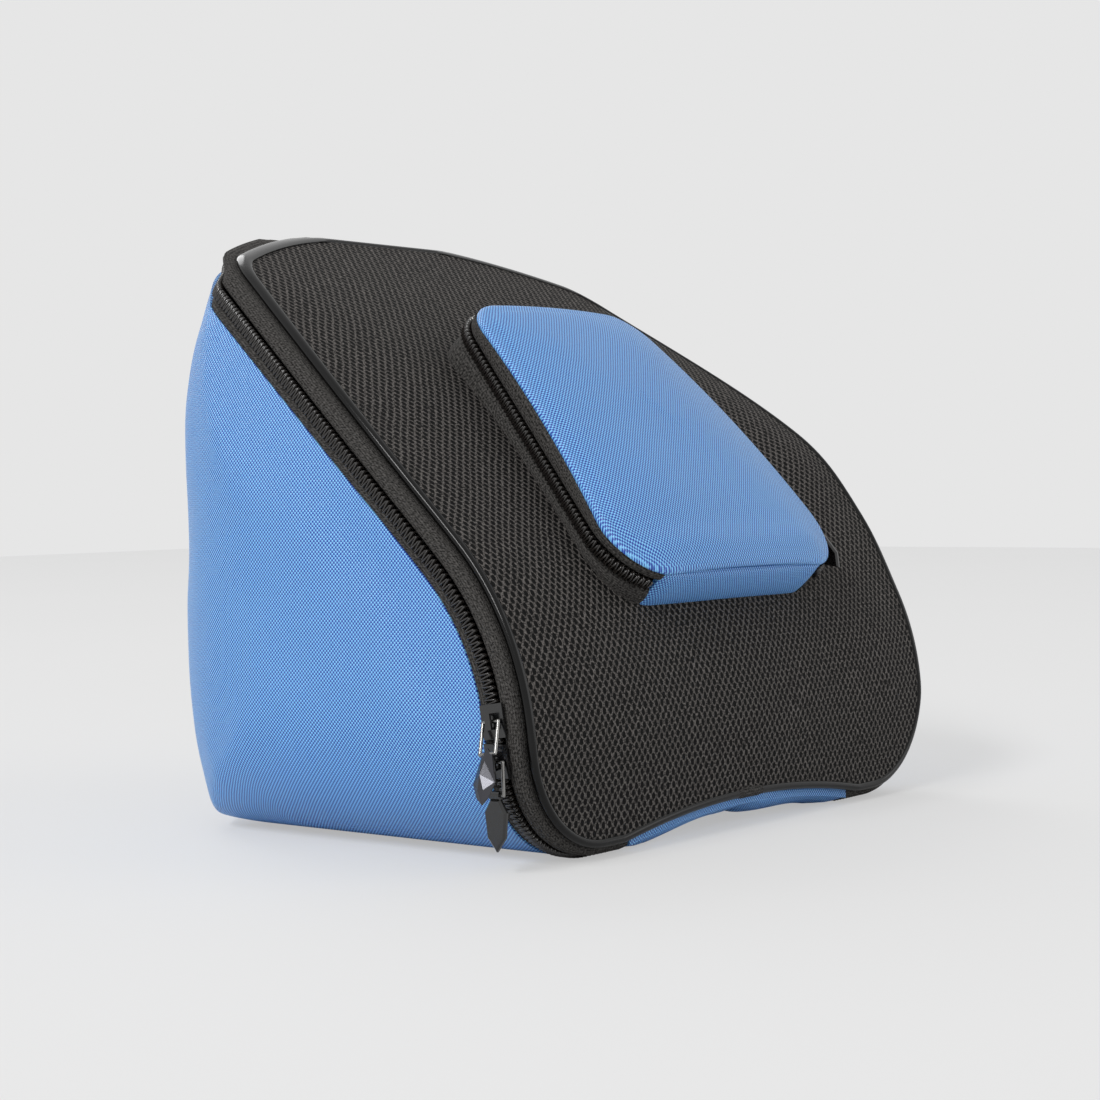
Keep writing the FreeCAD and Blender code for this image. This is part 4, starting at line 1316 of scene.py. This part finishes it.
    def _knife(self, depth: float) -> BMesh:
        """Return everything in front of a depth below the lid's face.

        Args:
            depth: The depth.

        Returns:
            A closed mesh, wider and taller than the bag.
        """
        heights = [-0.03, 0.0] + [k * 3 * MM for k in range(1, 86)]
        line = [Vector((-0.2, FORM.face_y(z, depth), z)) for z in heights]
        far = [Vector((-0.2, -0.35, heights[-1])), Vector((-0.2, -0.35, heights[0]))]
        bm = bmesh.new()
        face = bm.faces.new([bm.verts.new(p) for p in line + far])
        made = bmesh.ops.extrude_face_region(bm, geom=[face])["geom"]
        bmesh.ops.translate(bm, vec=(0.4, 0, 0), verts=[v for v in made if isinstance(v, BMVert)])
        bmesh.ops.recalc_face_normals(bm, faces=bm.faces)
        return bm

    def cloth_place(self, point: Vector, under: bool) -> tuple[float, float]:
        """Return the cloth's own coordinates at a point, measured round the back and up the side.

        Args:
            point: A point on the body.
            under: Whether it belongs to the bottom panel.

        Returns:
            The two coordinates in metres.
        """
        if under:
            return point.x + 2.0, point.y
        radius = FORM.back_corner_radius
        centre_x, centre_y = FORM.half - radius, FORM.depth / 2 - radius
        side = 1.0 if point.x >= 0 else -1.0
        x = abs(point.x)
        if point.y <= centre_y and x > centre_x * 0.8:
            around = centre_x + radius * math.pi / 2 + (centre_y - point.y)
        elif x <= centre_x:
            around = x
        else:
            around = centre_x + radius * math.atan2(x - centre_x, max(point.y - centre_y, 1e-6))
        up = point.z
        foot = FORM.foot_radius
        if up < foot:
            up = foot - foot * math.asin(min(1.0, (foot - up) / foot))
        elif up > FORM.side_straight_top:
            bend = FORM.side_radius
            up = FORM.side_straight_top + bend * math.asin(min(1.0, (up - FORM.side_straight_top) / bend))
        return side * around, up

    def _publish(self, piece: bpy.types.Object, name: str, finish: Finish,
                 replaced: Sequence[str]) -> bpy.types.Object:
        """Give the cloth its coordinates and hand the piece over.

        Args:
            piece: The finished form, removed here.
            name: The piece's name.
            finish: Its material.
            replaced: The solids that it stands for.

        Returns:
            The new object.
        """
        bm = opened(piece.data)
        layer = bm.loops.layers.uv.get(UV_NAME) or bm.loops.layers.uv.new(UV_NAME)
        bm.normal_update()
        foot_x = FORM.half - FORM.foot_radius
        for face in bm.faces:
            middle = face.calc_center_median()
            under = abs(face.normal.z) > 0.72 and middle.z < 16 * MM and abs(middle.x) < foot_x
            for loop in face.loops:
                loop[layer].uv = self.cloth_place(loop.vert.co, under)
        bpy.data.objects.remove(piece)
        return publish(bm, name, finish, Body.BASE, replaced, smooth_below=60)


@dataclass
class HingeStrip:
    """The fabric strip that joins the lid to the body at the lower front edge.

    Attributes:
        count: Steps along the strip.
        across: Steps over its width.
        tuck: How far its middle line would lie inside the outer form if it had no slack.
        sag: How far the slack lets it belly out.
        wall: The inset of its inner face.
        flange: The insets and depths of the seam allowance behind the lid's lining, in millimetres.
    """
    count: int = 56
    across: int = 12
    tuck: float = 0.9
    sag: float = 3.4
    wall: float = 2.9
    flange: tuple[tuple[float, float], ...] = ((2.9, 4.6), (7.4, 4.6), (7.4, 3.4))

    def build(self) -> None:
        """Build the strip, which runs from the body to the lid."""
        half = BAND.hinge_half - 0.3 * MM
        rings = []
        for k in range(self.count + 1):
            stop = Station(half - 2 * half * k / self.count, 0.0, 0.0, -1.0, True)
            rings.append(section(stop, self._section(stop.x, min(k, self.count - k) / 4)))
            for point in rings[-1]:
                point.z = max(point.z, 0.3 * MM)
        front = -FORM.depth / 2
        bend = (Body.LID, Vector((0, front + 22 * MM, 3 * MM)), Vector((0, front + 3.6 * MM, 3 * MM)))
        piece = publish(swept(rings, loop=False), "lid_hinge_fabric", BLUE_FABRIC, Body.BASE,
                        ("lid_hinge_strip",), bend=bend)

    def _section(self, x: float, from_end: float) -> list[tuple[float, float]]:
        """Return the strip's section, which bellies out except at its ends and its middle crease.

        Args:
            x: Place across the bag.
            from_end: Distance from the nearer end, 1 where the belly is full.

        Returns:
            Insets and depths.
        """
        start, end = BAND.lid_tape - 0.3 * MM, BAND.tape_end
        slack = 1.0 + 0.25 * math.sin(x * 95) - 0.5 * math.exp(-(x / (5 * MM)) ** 2)
        belly = self.sag * slack * (1.0 - max(0.0, 1.0 - from_end) ** 2)
        corners = []
        for j in range(self.across + 1):
            share = j / self.across
            out = belly * math.sin(math.pi * share) ** 0.8 - self.tuck
            corners.append((-out * MM, start + (end - start) * share))
        corners += [(self.wall * MM, start + (end - start) * j / 6) for j in range(6, 0, -1)]
        return corners + [(inset * MM, depth * MM) for inset, depth in self.flange]


# ------------------------------------------------------------------------------------- main zipper
@dataclass
class MainZipper:
    """The tapes and the coil along the lid's edge, half on the body and half on the lid.

    Attributes:
        chain_inset: The chain's distance inside the outer form.
        lid_section: The lid tape's insets and depths in millimetres, round from the seam under the mesh.
        body_section: The same for the body tape, whose inner leg binds the padded cloth's cut edge.
    """
    chain_inset: float = 0.7 * MM
    lid_section: tuple[tuple[float, float], ...] = (
        (6.7, 3.5), (4.6, 3.4), (2.6, 3.5), (1.3, 4.0), (0.8, 5.0), (0.7, 6.4), (0.8, 7.8), (1.2, 8.8),
        (1.7, 9.2), (2.6, 9.2), (2.7, 5.0), (6.7, 4.6))
    body_section: tuple[tuple[float, float], ...] = (
        (1.7, 13.8), (1.1, 14.2), (0.7, 15.0), (0.6, 16.0), (0.8, 17.3), (1.4, 18.8), (1.6, 21.0),
        (1.6, 23.5), (2.5, 23.5), (2.5, 16.3), (5.5, 16.3), (5.6, 20.5), (6.4, 20.5), (6.3, 15.0),
        (5.6, 14.2), (2.6, 13.8))

    def build(self) -> None:
        """Build both tapes and both rows of coil turns."""
        stops = zipped_stops()
        self.strip("lid_zipper_tape", Body.LID, "lid_zip_tape", stops, self.lid_section)
        self.strip("body_zipper_tape", Body.BASE, "base_zip_tape", stops, self.body_section)
        track = self.track(stops)
        across = track.frame_at(track.length / 4).to_3x3() @ Vector((0, 1, 0))
        COIL.build(track, 1 if across.y < 0 else -1, (("lid_coil", Body.LID, "lid_zip_coil"),
                                                      ("body_coil", Body.BASE, "base_zip_coil")))

    def strip(self, name: str, body: Body, node: str, stops: Sequence[Station],
              corners: Sequence[tuple[float, float]]) -> None:
        """Build one tape.

        Args:
            name: The piece's name.
            body: The body that it rides on.
            node: The solid that it stands for.
            stops: The stops that it passes.
            corners: Its section's insets and depths in millimetres.
        """
        shape = [(inset * MM, depth * MM) for inset, depth in corners]
        rings = [section(stop, shape) for stop in stops]
        publish(swept(rings, loop=False), name, TAPE_FABRIC, body, (node,))

    def track(self, stops: Sequence[Station]) -> Track:
        """Return the chain's middle line.

        Args:
            stops: The stops that it passes.

        Returns:
            The line, with the directions out of the band.
        """
        before, points, after = ([FORM.point(s, self.chain_inset, BAND.chain + step * MM) for s in stops]
                                 for step in (-2, 0, 2))
        inside = Vector((0, 0.03, 0.09))
        outs = []
        for k, point in enumerate(points):
            along = points[min(k + 1, len(points) - 1)] - points[max(k - 1, 0)]
            out = along.cross(after[k] - before[k]).normalized()
            outs.append(out if out.dot(point - inside) > 0 else -out)
        return Track(points, outs)


# ------------------------------------------------------------------------------------- lid
@dataclass
class Lid:
    """The crowned mesh panel, its lining and the glossy piping."""
    crown: float = 3.0 * MM
    rings: int = 46
    mesh_wall: float = 2.2 * MM
    lining_wall: float = 0.7 * MM
    slack: float = 1.2 * MM
    cord_radius: float = 1.6 * MM

    def build(self) -> None:
        """Build the mesh panel, the lining and the piping."""
        inset = BAND.edge + BAND.piping - 0.4 * MM
        mesh = self.panel(inset, 0.6 * MM, self.crown)
        self._thicken(mesh, self.mesh_wall)
        piece = publish(mesh, "lid_mesh", MESH_FABRIC, Body.LID, ("lid_mesh_panel",))
        lining = self.panel(inset + 0.6 * MM, 3.3 * MM, self.crown * 0.8)
        self._thicken(lining, self.lining_wall)
        liner = publish(lining, "lid_liner", LINING_CLOTH, Body.LID, ("lid_lining",))
        self.piping()

    def panel(self, inset: float, depth: float, crown: float) -> BMesh:
        """Return the lid's curved sheet as rings that shrink to its middle.

        Args:
            inset: The edge's distance inside the outer form.
            depth: The sheet's depth below the lid's face.
            crown: How far the middle stands out.

        Returns:
            The sheet, with cloth coordinates across and along the lid.
        """
        edge = [FORM.point(s, inset, depth) for s in FORM.stations()]
        sweep = Sweep([self._place(p.x, p.z, depth, 0.0) for p in edge])
        for k in range(1, self.rings):
            share = 1 - (k / self.rings)
            ring = []
            for p in edge:
                x, z = p.x * share, FORM.middle_z + (p.z - FORM.middle_z) * share
                bulge = crown * (0.3 + 0.9 * eased((z - 0.075) / 0.085)) * (1 - share ** 2.4)
                slack = noise.noise(Vector((x * 16, z * 16, 3.0))) * self.slack * (1 - share ** 6)
                ring.append(self._place(x, z, depth, bulge + slack))
            sweep.advance(ring)
        bmesh.ops.contextual_create(sweep.bm, geom=sweep.edges)
        bm = sweep.finish()
        if sum(f.normal.y for f in bm.faces) > 0:
            bmesh.ops.reverse_faces(bm, faces=bm.faces)
        for face in bm.faces:
            for loop in face.loops:
                point = loop.vert.co
                loop[sweep.layer].uv = (point.x, self._run(point.z))
        return bm

    def _place(self, x: float, z: float, depth: float, bulge: float) -> Vector:
        """Return a point of the lid.

        Args:
            x: Place across the bag.
            z: Height before the bulge.
            depth: Depth below the lid's face.
            bulge: How far it is pushed outwards.

        Returns:
            The point.
        """
        y = FORM.face_y(z, depth)
        out = Vector((0, -MM, FORM.face_y(z + MM, depth) - y)).normalized()
        return Vector((x, y, z)) + out * bulge

    def _run(self, z: float) -> float:
        """Return the length along the lid's curve up to a height.

        Args:
            z: The height.

        Returns:
            The length.
        """
        if z < FORM.lid_upright:
            return z
        rise = z - FORM.lid_upright
        low = FORM.lid_radius * math.sin(FORM.lid_lean)
        if rise < low:
            return FORM.lid_upright + FORM.lid_radius * math.asin(rise / FORM.lid_radius)
        base = FORM.lid_upright + FORM.lid_radius * FORM.lid_lean
        return base + (rise - low) / math.cos((FORM.lid_lean + FORM.lid_top_lean) / 2)

    def _thicken(self, bm: BMesh, wall: float) -> None:
        """Give a sheet its thickness, inwards."""
        bmesh.ops.solidify(bm, geom=bm.faces, thickness=wall)
        bmesh.ops.recalc_face_normals(bm, faces=bm.faces)

    def piping(self) -> None:
        """Build the piping's cord round the lid, with the sleeve that covers its join."""
        stops = FORM.stations()
        rings = [self._cord(s, self.cord_radius) for s in stops]
        publish(swept(rings, loop=True), "lid_piping_cord", PIPING_VINYL, Body.LID,
                ("lid_piping",))
        near = [s for s in stops if s.under and abs(s.x) < 8 * MM]
        near.sort(key=lambda s: s.x)
        rings = [self._cord(s, (1.95 if 0 < k < len(near) - 1 else 1.65) * MM) for k, s in enumerate(near)]
        publish(swept(rings, loop=False), "lid_piping_join", TAPE_FABRIC, Body.LID)

    def _cord(self, stop: Station, radius: float) -> list[Vector]:
        """Return the piping's round section.

        Args:
            stop: The stop round the lid's edge.
            radius: The section's radius.

        Returns:
            The section's points.
        """
        turns = (j * math.tau / 12 for j in range(12))
        return section(stop, [(BAND.edge + self.cord_radius + radius * math.cos(t),
                               1.5 * MM + radius * math.sin(t)) for t in turns])


# ------------------------------------------------------------------------------------- pocket
@dataclass
class Pocket:
    """The padded zip pocket on the lid."""
    swell: float = 3.0 * MM
    swell_frames: int = 12
    fill: float = 3.4 * MM
    slack: float = 0.8 * MM
    place: Matrix = field(default_factory=lambda: POCKET.place)

    def build(self) -> None:
        """Build the wall, the zipper, the hinge fabric and the padded cover."""
        outline = POCKET.stops(1.1 * MM)
        bare = {k for k, p in enumerate(outline)
                if p.y < -POCKET.length / 2 + 4 * MM and abs(p.x) < POCKET.hinge_half}
        count = len(outline)
        zipped = [k for k in range(count) if k not in bare]
        hinged = [k for k in sorted(bare) if k > count / 2] + [k for k in sorted(bare) if k <= count / 2]
        hinged = [hinged[0] - 1] + hinged + [hinged[-1] + 1]
        self.walls(zipped, hinged)
        self.zipper(zipped)
        self.cover()

    def strip(self, numbers: Sequence[int],
              rows: Callable[[Vector, int], Sequence[tuple[float, float]]]) -> BMesh:
        """Return a wall swept along part of the outline.

        Args:
            numbers: The outline points that it passes, in order.
            rows: Gives the section's insets and heights from the outline's point and its place in the row.

        Returns:
            The mesh in the bag's frame.
        """
        base, inner = POCKET.stops(0.0), POCKET.stops(1.0 * MM)
        rings = []
        for j, k in enumerate(numbers):
            inward = (inner[k] - base[k]) / MM
            rings.append([self.place @ (base[k] + inward * inset + Vector((0, 0, height)))
                          for inset, height in rows(base[k], j)])
        return swept(rings, loop=False)

    def floor_height(self, point: Vector) -> float:
        """Return the height over the seam plane at which a wall goes into the lid.

        Args:
            point: The wall's place in the seam plane.

        Returns:
            The height, negative.
        """
        for k in range(120):
            height = -8 * MM - k * 0.3 * MM
            world = self.place @ Vector((point.x, point.y, height))
            if world.y > FORM.face_y(world.z, 0.0):
                break
        return height - 0.8 * MM

    def walls(self, zipped: Sequence[int], hinged: Sequence[int]) -> None:
        """Build the lower tape wall and the blue hinge wall.

        Args:
            zipped: The outline points along the zipper.
            hinged: The outline points along the hinge.
        """
        def tape_rows(point: Vector, number: int) -> list[tuple[float, float]]:
            """Return the tape wall's section.

            Args:
                point: The outline's point.
                number: Its place in the row, not needed here.

            Returns:
                Insets and heights.
            """
            floor, top = self.floor_height(point), -11.2 * MM
            rows = [(2.1 * MM, floor), (0.3 * MM, floor), (0.4 * MM, floor + 1.2 * MM)]
            rows += [((1.0 - 0.9 * math.sin(math.pi * share)) * MM, floor + (top - floor) * share)
                     for share in (0.25, 0.45, 0.65, 0.85)]
            return rows + [(1.2 * MM, top), (2.1 * MM, top)]

        def hinge_rows(point: Vector, number: int) -> list[tuple[float, float]]:
            """Return the hinge wall's section, which bellies out between its ends.

            Args:
                point: The outline's point.
                number: Its place in the row.

            Returns:
                Insets and heights.
            """
            floor, top = self.floor_height(point), POCKET.edge + 0.6 * MM
            ends = min(number, len(hinged) - 1 - number) / 3
            out = 1.6 * MM * min(1.0, ends) ** 0.5
            rows = [(2.7 * MM, floor), (0.9 * MM, floor)]
            rows += [(0.9 * MM - out * math.sin(math.pi * share) ** 0.7, floor + (top - floor) * share)
                     for share in (0.08, 0.2, 0.35, 0.5, 0.65, 0.8, 0.92)]
            return rows + [(1.6 * MM, top), (2.7 * MM, top)]

        publish(self.strip(zipped, tape_rows), "pocket_wall", TAPE_FABRIC, Body.LID,
                ("pocket_wall_tape",))
        foot = Vector((0, -POCKET.length / 2, -12 * MM))
        bend = (Body.COVER, self.place @ foot, self.place @ Vector((0, foot.y, POCKET.edge)))
        piece = publish(self.strip(hinged, hinge_rows), "pocket_hinge_fabric", BLUE_FABRIC, Body.LID,
                        ("pocket_hinge_wall",), bend=bend)

    def zipper(self, zipped: Sequence[int]) -> None:
        """Build the upper tape, which turns over the cover's edge, and both rows of coil turns.

        Args:
            zipped: The outline points along the zipper.
        """
        below = ((2.1, -6.4), (1.2, -6.4), (0.6, -5.9), (0.3, -5.0), (0.2, -4.0), (0.1, -2.8))
        over = ((0.2, 0.0), (0.7, 0.7), (1.5, 0.9), (2.1, 0.4), (2.1, -1.0))

        def rows(point: Vector, number: int) -> list[tuple[float, float]]:
            """Return the upper tape's section, whose top follows the cover's crown.

            Args:
                point: The outline's point.
                number: Its place in the row, not needed here.

            Returns:
                Insets and heights.
            """
            low = POCKET.dome(point) - 2.4 * MM
            return ([(inset * MM, height * MM) for inset, height in below]
                    + [(inset * MM, low + height * MM) for inset, height in over])

        publish(self.strip(zipped, rows), "pocket_upper_tape_strip", TAPE_FABRIC, Body.COVER,
                ("pocket_upper_tape",))
        base, inner = POCKET.stops(0.35 * MM), POCKET.stops(2.7 * MM)
        turn = self.place.to_3x3()
        track = Track([self.place @ (base[k] + Vector((0, 0, POCKET.chain))) for k in zipped],
                      [(turn @ (base[k] - inner[k])).normalized() for k in zipped])
        axis = track.frame_at(track.length / 4).to_3x3() @ Vector((0, 1, 0))
        up = 1 if axis.dot(turn @ Vector((0, 0, 1))) > 0 else -1
        COIL.build(track, up, (("pocket_cover_coil", Body.COVER, "pocket_upper_coil"),
                               ("pocket_wall_coil", Body.LID, "pocket_lower_coil")))

    def cover(self) -> None:
        """Build the padded cover as a crowned cushion whose lower edge rolls over into a crease."""
        outline = POCKET.stops(1.0 * MM)
        unit = [a - b for a, b in zip(POCKET.stops(2.0 * MM), outline)]
        edge = [(1.6, -2.9, 0.5), (0.2, -2.3, 0.9), (-0.5, -1.7, 1.0), (-0.6, -1.0, 1.0), (-0.2, -0.3, 1.0),
                (0.8, 0.4, 1.0), (2.2, 0.9, 1.0), (3.8, 1.3, 1.0)]
        rings = [[p + u * inset + Vector((0, 0, height * MM + POCKET.dome(p) * share))
                  for p, u in zip(outline, unit)] for inset, height, share in edge]
        last = [p + u * 3.8 for p, u in zip(outline, unit)]
        for k in range(1, 26):
            share = 1 - k / 26
            ring = []
            for p in last:
                point = Vector((p.x * share, p.y * share, 0))
                point.z = POCKET.dome(point) + 1.3 * MM + self.fill * (1 - share ** 3)
                ring.append(point)
            rings.append(ring)
        pad = placed("pocket_cushion_form", mesh_of(swept(rings, loop=False), "pocket_cushion_form"))
        low = -POCKET.length / 2

        def freedom(point: Vector) -> float:
            """Return how free the cover's cloth is at a point: 0 near its seam and underneath."""
            return held((POCKET.depth_inside(point) - 5 * MM) / (14 * MM)) if point.z > -1 * MM else 0.0

        puff(pad, freedom, self.swell, self.swell_frames)
        bm = opened(pad.data)
        bpy.data.objects.remove(pad)
        layer = bm.loops.layers.uv.get(UV_NAME)
        for vert in bm.verts:
            point = vert.co
            along = (point.y - low) / (11 * MM)
            inner = max(0.0, 1.0 - (abs(point.x) / (58 * MM)) ** 6)
            if along < 1.6 and point.z > -1.5 * MM:
                point.z += 1.3 * MM * inner * math.sin(math.pi * min(1.0, max(0.0, along) / 1.6)) ** 1.5
            if point.z > -1 * MM:
                soft = noise.noise(point * 26.0) * self.slack
                point.z += soft * min(1.0, POCKET.depth_inside(point) / (12 * MM))
        for face in bm.faces:
            for loop in face.loops:
                point = loop.vert.co
                loop[layer].uv = (point.x + 1.0, point.y - min(0.0, point.z) + 1.0)
        bmesh.ops.transform(bm, matrix=self.place, verts=bm.verts)
        piece = publish(bm, "pocket_cover_cushion", BLUE_FABRIC, Body.COVER,
                        ("pocket_cover_fabric", "pocket_cover_foam"), smooth_below=60)
        self.cover_lining()

    def cover_lining(self) -> None:
        """Build the lining under the cover, a closed sheet inside the tape."""
        outline = POCKET.stops(2.3 * MM)
        levels = [(1.0, -3.7)] + [(1 - k / 18, -2.8 + 0.8 * k / 18) for k in range(18)]
        rings = [[self.place @ Vector((p.x * share, p.y * share, height * MM)) for p in outline]
                 for share, height in levels]
        piece = publish(swept(rings, loop=False), "pocket_cover_liner", LINING_CLOTH, Body.COVER,
                        ("pocket_cover_lining",))


# ------------------------------------------------------------------------------------- metal parts
def dress_solids() -> None:
    """Give each solid that still shows its own finish."""
    finishes = {"foam": FOAM_SHEET, "board": BOARD_SHEET, "slider_metal": ZINC_BLACK,
                "bail_wire": WIRE_NICKEL, "pull_plate": ZINC_BLACK, "faceted_pull": ZINC_GUNMETAL,
                "blue_fabric": BLUE_FABRIC, "black_lining": LINING_CLOTH, "zip_tape": TAPE_FABRIC,
                "zip_coil": COIL_NYLON, "black_mesh": MESH_FABRIC, "black_piping": PIPING_VINYL}
    slots = {row["node"]: row["material_slot"] for row in frame["record"]["subparts"]}
    for name, node in frame["nodes"].items():
        node.data.materials.clear()
        node.data.materials.append(finishes[slots[name]].material())


@dataclass
class FacetedPull:
    """The upper slider's pull plate, cast as a long cut gem between its bail and its tip."""
    length: float = 18.4 * MM
    top_half: float = 2.3 * MM
    waist_half: float = 4.4 * MM
    height: float = 2.6 * MM
    edge: float = 0.25 * MM

    def build(self) -> None:
        """Build the faceted plate where the solid plate hangs."""
        solid = frame["nodes"]["upper_pull_tab"]
        joint = next(j for j in frame["record"]["behaviour"]["joints"] if j["name"] == "upper_pull_swing")
        pivot, across = Vector(joint["pos_m"]), Vector(joint["axis"]).normalized()
        reach = sorted((v.co - pivot for v in solid.data.vertices), key=lambda v: v.length)
        tip, start = reach[-1], reach[0].length
        down = (tip - across * tip.dot(across)).normalized()
        out = across.cross(down).normalized()
        if out.x > 0:
            out = -out
        top = self.top_half
        rim = [(0.0, 0.0), (0.14, top), (0.62, self.waist_half), (0.86, top * 1.1), (1.0, 0.0),
               (0.86, -top * 1.1), (0.62, -self.waist_half), (0.14, -top)]
        peaks = [(0.5, 0.0, 1.0), (0.26, top * 0.35, 0.72), (0.26, -top * 0.35, 0.72),
                 (0.76, top * 0.5, 0.62), (0.76, -top * 0.5, 0.62)]
        bm = bmesh.new()
        corners = [(share, side, lift) for share, side in rim for lift in (-self.edge, self.edge)]
        corners += [(share, side, lift * face) for share, side, lift in peaks
                    for face in (self.height, -0.6 * self.height)]
        for share, side, lift in corners:
            along = start + self.length * share - 0.6 * MM
            bm.verts.new(pivot + down * along + across * side + out * lift)
        made = bmesh.ops.convex_hull(bm, input=list(bm.verts), use_existing_faces=False)["geom"]
        outer = {item for item in made if isinstance(item, BMFace)}
        bmesh.ops.delete(bm, geom=[v for v in bm.verts if not any(f in outer for f in v.link_faces)],
                         context="VERTS")
        bmesh.ops.recalc_face_normals(bm, faces=bm.faces)
        publish(bm, "upper_pull_gem", ZINC_GUNMETAL, Body.UPPER_PULL, ("upper_pull_tab",),
                smooth_below=1)


# ------------------------------------------------------------------------------------- studio
@dataclass
class Studio:
    """The floor, the lamps and the camera."""
    backdrop: str = "#E6E6E6"
    azimuth: float = math.radians(-51.78)
    elevation: float = math.radians(1.64)
    roll: float = math.radians(-0.84)
    distance: float = 0.8258
    right_shift: float = -0.0633
    up_shift: float = 0.0990
    ahead: float = -0.0885
    focal: float = 2300.0 / 1100.0 * 36.0
    lamps: list[tuple[str, tuple[float, float, float], float, float]] = field(default_factory=lambda: [
        ("fill", (0.9, -1.3, 0.7), 40.0, 0.4),
        ("rim", (0.5, 1.1, 1.0), 30.0, 0.6),
    ])
    key_place: tuple[float, float, float] = (-4.74, -0.24, 3.70)
    key_along: tuple[float, float, float] = (0.34, 0.75, 0.57)
    key_size: tuple[float, float] = (3.8, 0.9)
    key_power: float = 215.0
    aim: tuple[float, float, float] = (0.0, 0.0, 0.1)
    room_light: float = 0.55
    floor_lift: float = 0.55

    def build(self) -> None:
        """Build the stage."""
        bpy.context.scene.view_settings.view_transform = "Standard"
        self.world()
        self.floor()
        for name, place, spread, power in self.lamps:
            data = bpy.data.lights.new(name, "SUN")
            data.angle = math.radians(spread)
            data.energy = power
            lamp = placed(name, data)
            lamp.location = place
            lamp.rotation_mode = "QUATERNION"
            lamp.rotation_quaternion = (Vector(self.aim) - Vector(place)).to_track_quat("-Z", "Y")
        self.key()
        self.camera()

    def key(self) -> None:
        """Hang the long narrow softbox whose line of light follows the piping."""
        data = bpy.data.lights.new("key", "AREA")
        data.shape = "RECTANGLE"
        data.size, data.size_y = self.key_size
        data.energy = self.key_power
        lamp = placed("key", data)
        place = Vector(self.key_place)
        back = (place - Vector(self.aim)).normalized()
        along = Vector(self.key_along)
        along = (along - back * along.dot(back)).normalized()
        turn = Matrix((along, back.cross(along), back)).transposed()
        lamp.matrix_world = Matrix.Translation(place) @ turn.to_4x4()

    def world(self) -> None:
        """Light the room evenly and show the camera a plain backdrop."""
        world = bpy.data.worlds.new("room")
        world.use_nodes = True
        tree = world.node_tree
        tree.nodes.clear()
        ray = add(tree, "LightPath")
        seen = add(tree, "Background", {"Color": linear(self.backdrop), "Strength": 1.0})
        soft = add(tree, "Background", {"Color": (1, 1, 1, 1), "Strength": self.room_light})
        shown = add(tree, "Math", {0: ray.outputs["Is Camera Ray"], 1: ray.outputs["Is Glossy Ray"]},
                    operation="MAXIMUM")
        mixed = add(tree, "MixShader", {0: shown.outputs[0], 1: soft.outputs[0], 2: seen.outputs[0]})
        add(tree, "OutputWorld", {"Surface": mixed.outputs[0]})
        bpy.context.scene.world = world

    def floor(self) -> None:
        """Lay a pale floor that keeps the bag's shadow."""
        bm = bmesh.new()
        bmesh.ops.create_grid(bm, x_segments=4, y_segments=4, size=3.0)
        floor = placed("floor", mesh_of(bm, "floor"))
        floor.location = (0, 0, -0.6 * MM)
        material = bpy.data.materials.new("PaintedFloorPale")
        material.use_nodes = True
        tree = material.node_tree
        shader = tree.nodes["Principled BSDF"]
        place = add(tree, "TexCoord").outputs["Object"]
        cloud = add(tree, "TexNoise", {"Vector": place, "Scale": 3.0}).outputs["Fac"]
        mixed = add(tree, "Mix", {"Factor": cloud, 6: linear("#DFDFDF"), 7: linear("#E2E2E2")},
                    data_type="RGBA")
        tree.links.new(mixed.outputs[2], shader.inputs["Base Color"])
        shader.inputs["Roughness"].default_value = 0.9
        lit = add(tree, "Emission", {"Color": linear(self.backdrop), "Strength": 1.0})
        ray = add(tree, "LightPath").outputs["Is Camera Ray"]
        seen = add(tree, "Math", {0: ray, 1: self.floor_lift}, operation="MULTIPLY").outputs[0]
        shown = add(tree, "MixShader", {0: seen, 1: shader.outputs[0], 2: lit.outputs[0]})
        tree.links.new(shown.outputs[0], tree.nodes["Material Output"].inputs["Surface"])
        floor.data.materials.append(material)

    def camera(self) -> None:
        """Set the camera at the bag's front left corner, nearly level with it."""
        a, e = self.azimuth, self.elevation
        back = Vector((math.sin(a) * math.cos(e), -math.cos(a) * math.cos(e), math.sin(e)))
        right = Vector((math.cos(a), math.sin(a), 0))
        up = back.cross(right)
        place = back * self.distance + right * self.right_shift + up * self.up_shift
        place.y += self.ahead
        tilted_right = right * math.cos(self.roll) + up * math.sin(self.roll)
        tilted_up = up * math.cos(self.roll) - right * math.sin(self.roll)
        data = bpy.data.cameras.new("camera")
        data.lens = self.focal
        data.sensor_width = 36.0
        data.clip_start = 0.01
        data.clip_end = 50.0
        camera = placed("camera", data)
        turn = Matrix((tilted_right, tilted_up, back)).transposed()
        camera.matrix_world = Matrix.Translation(place) @ turn.to_4x4()
        bpy.context.scene.camera = camera


def main() -> None:
    """Build the bag's pieces in order, then the studio round it."""
    logging.basicConfig(level=logging.INFO, format="%(name)s %(message)s")
    dress_solids()
    for part in (BagBody(), HingeStrip(), MainZipper(), Lid(), Pocket(), FacetedPull(), Studio()):
        LOG.info("building %s", type(part).__name__)
        part.build()


if __name__ == "__main__":
    main()
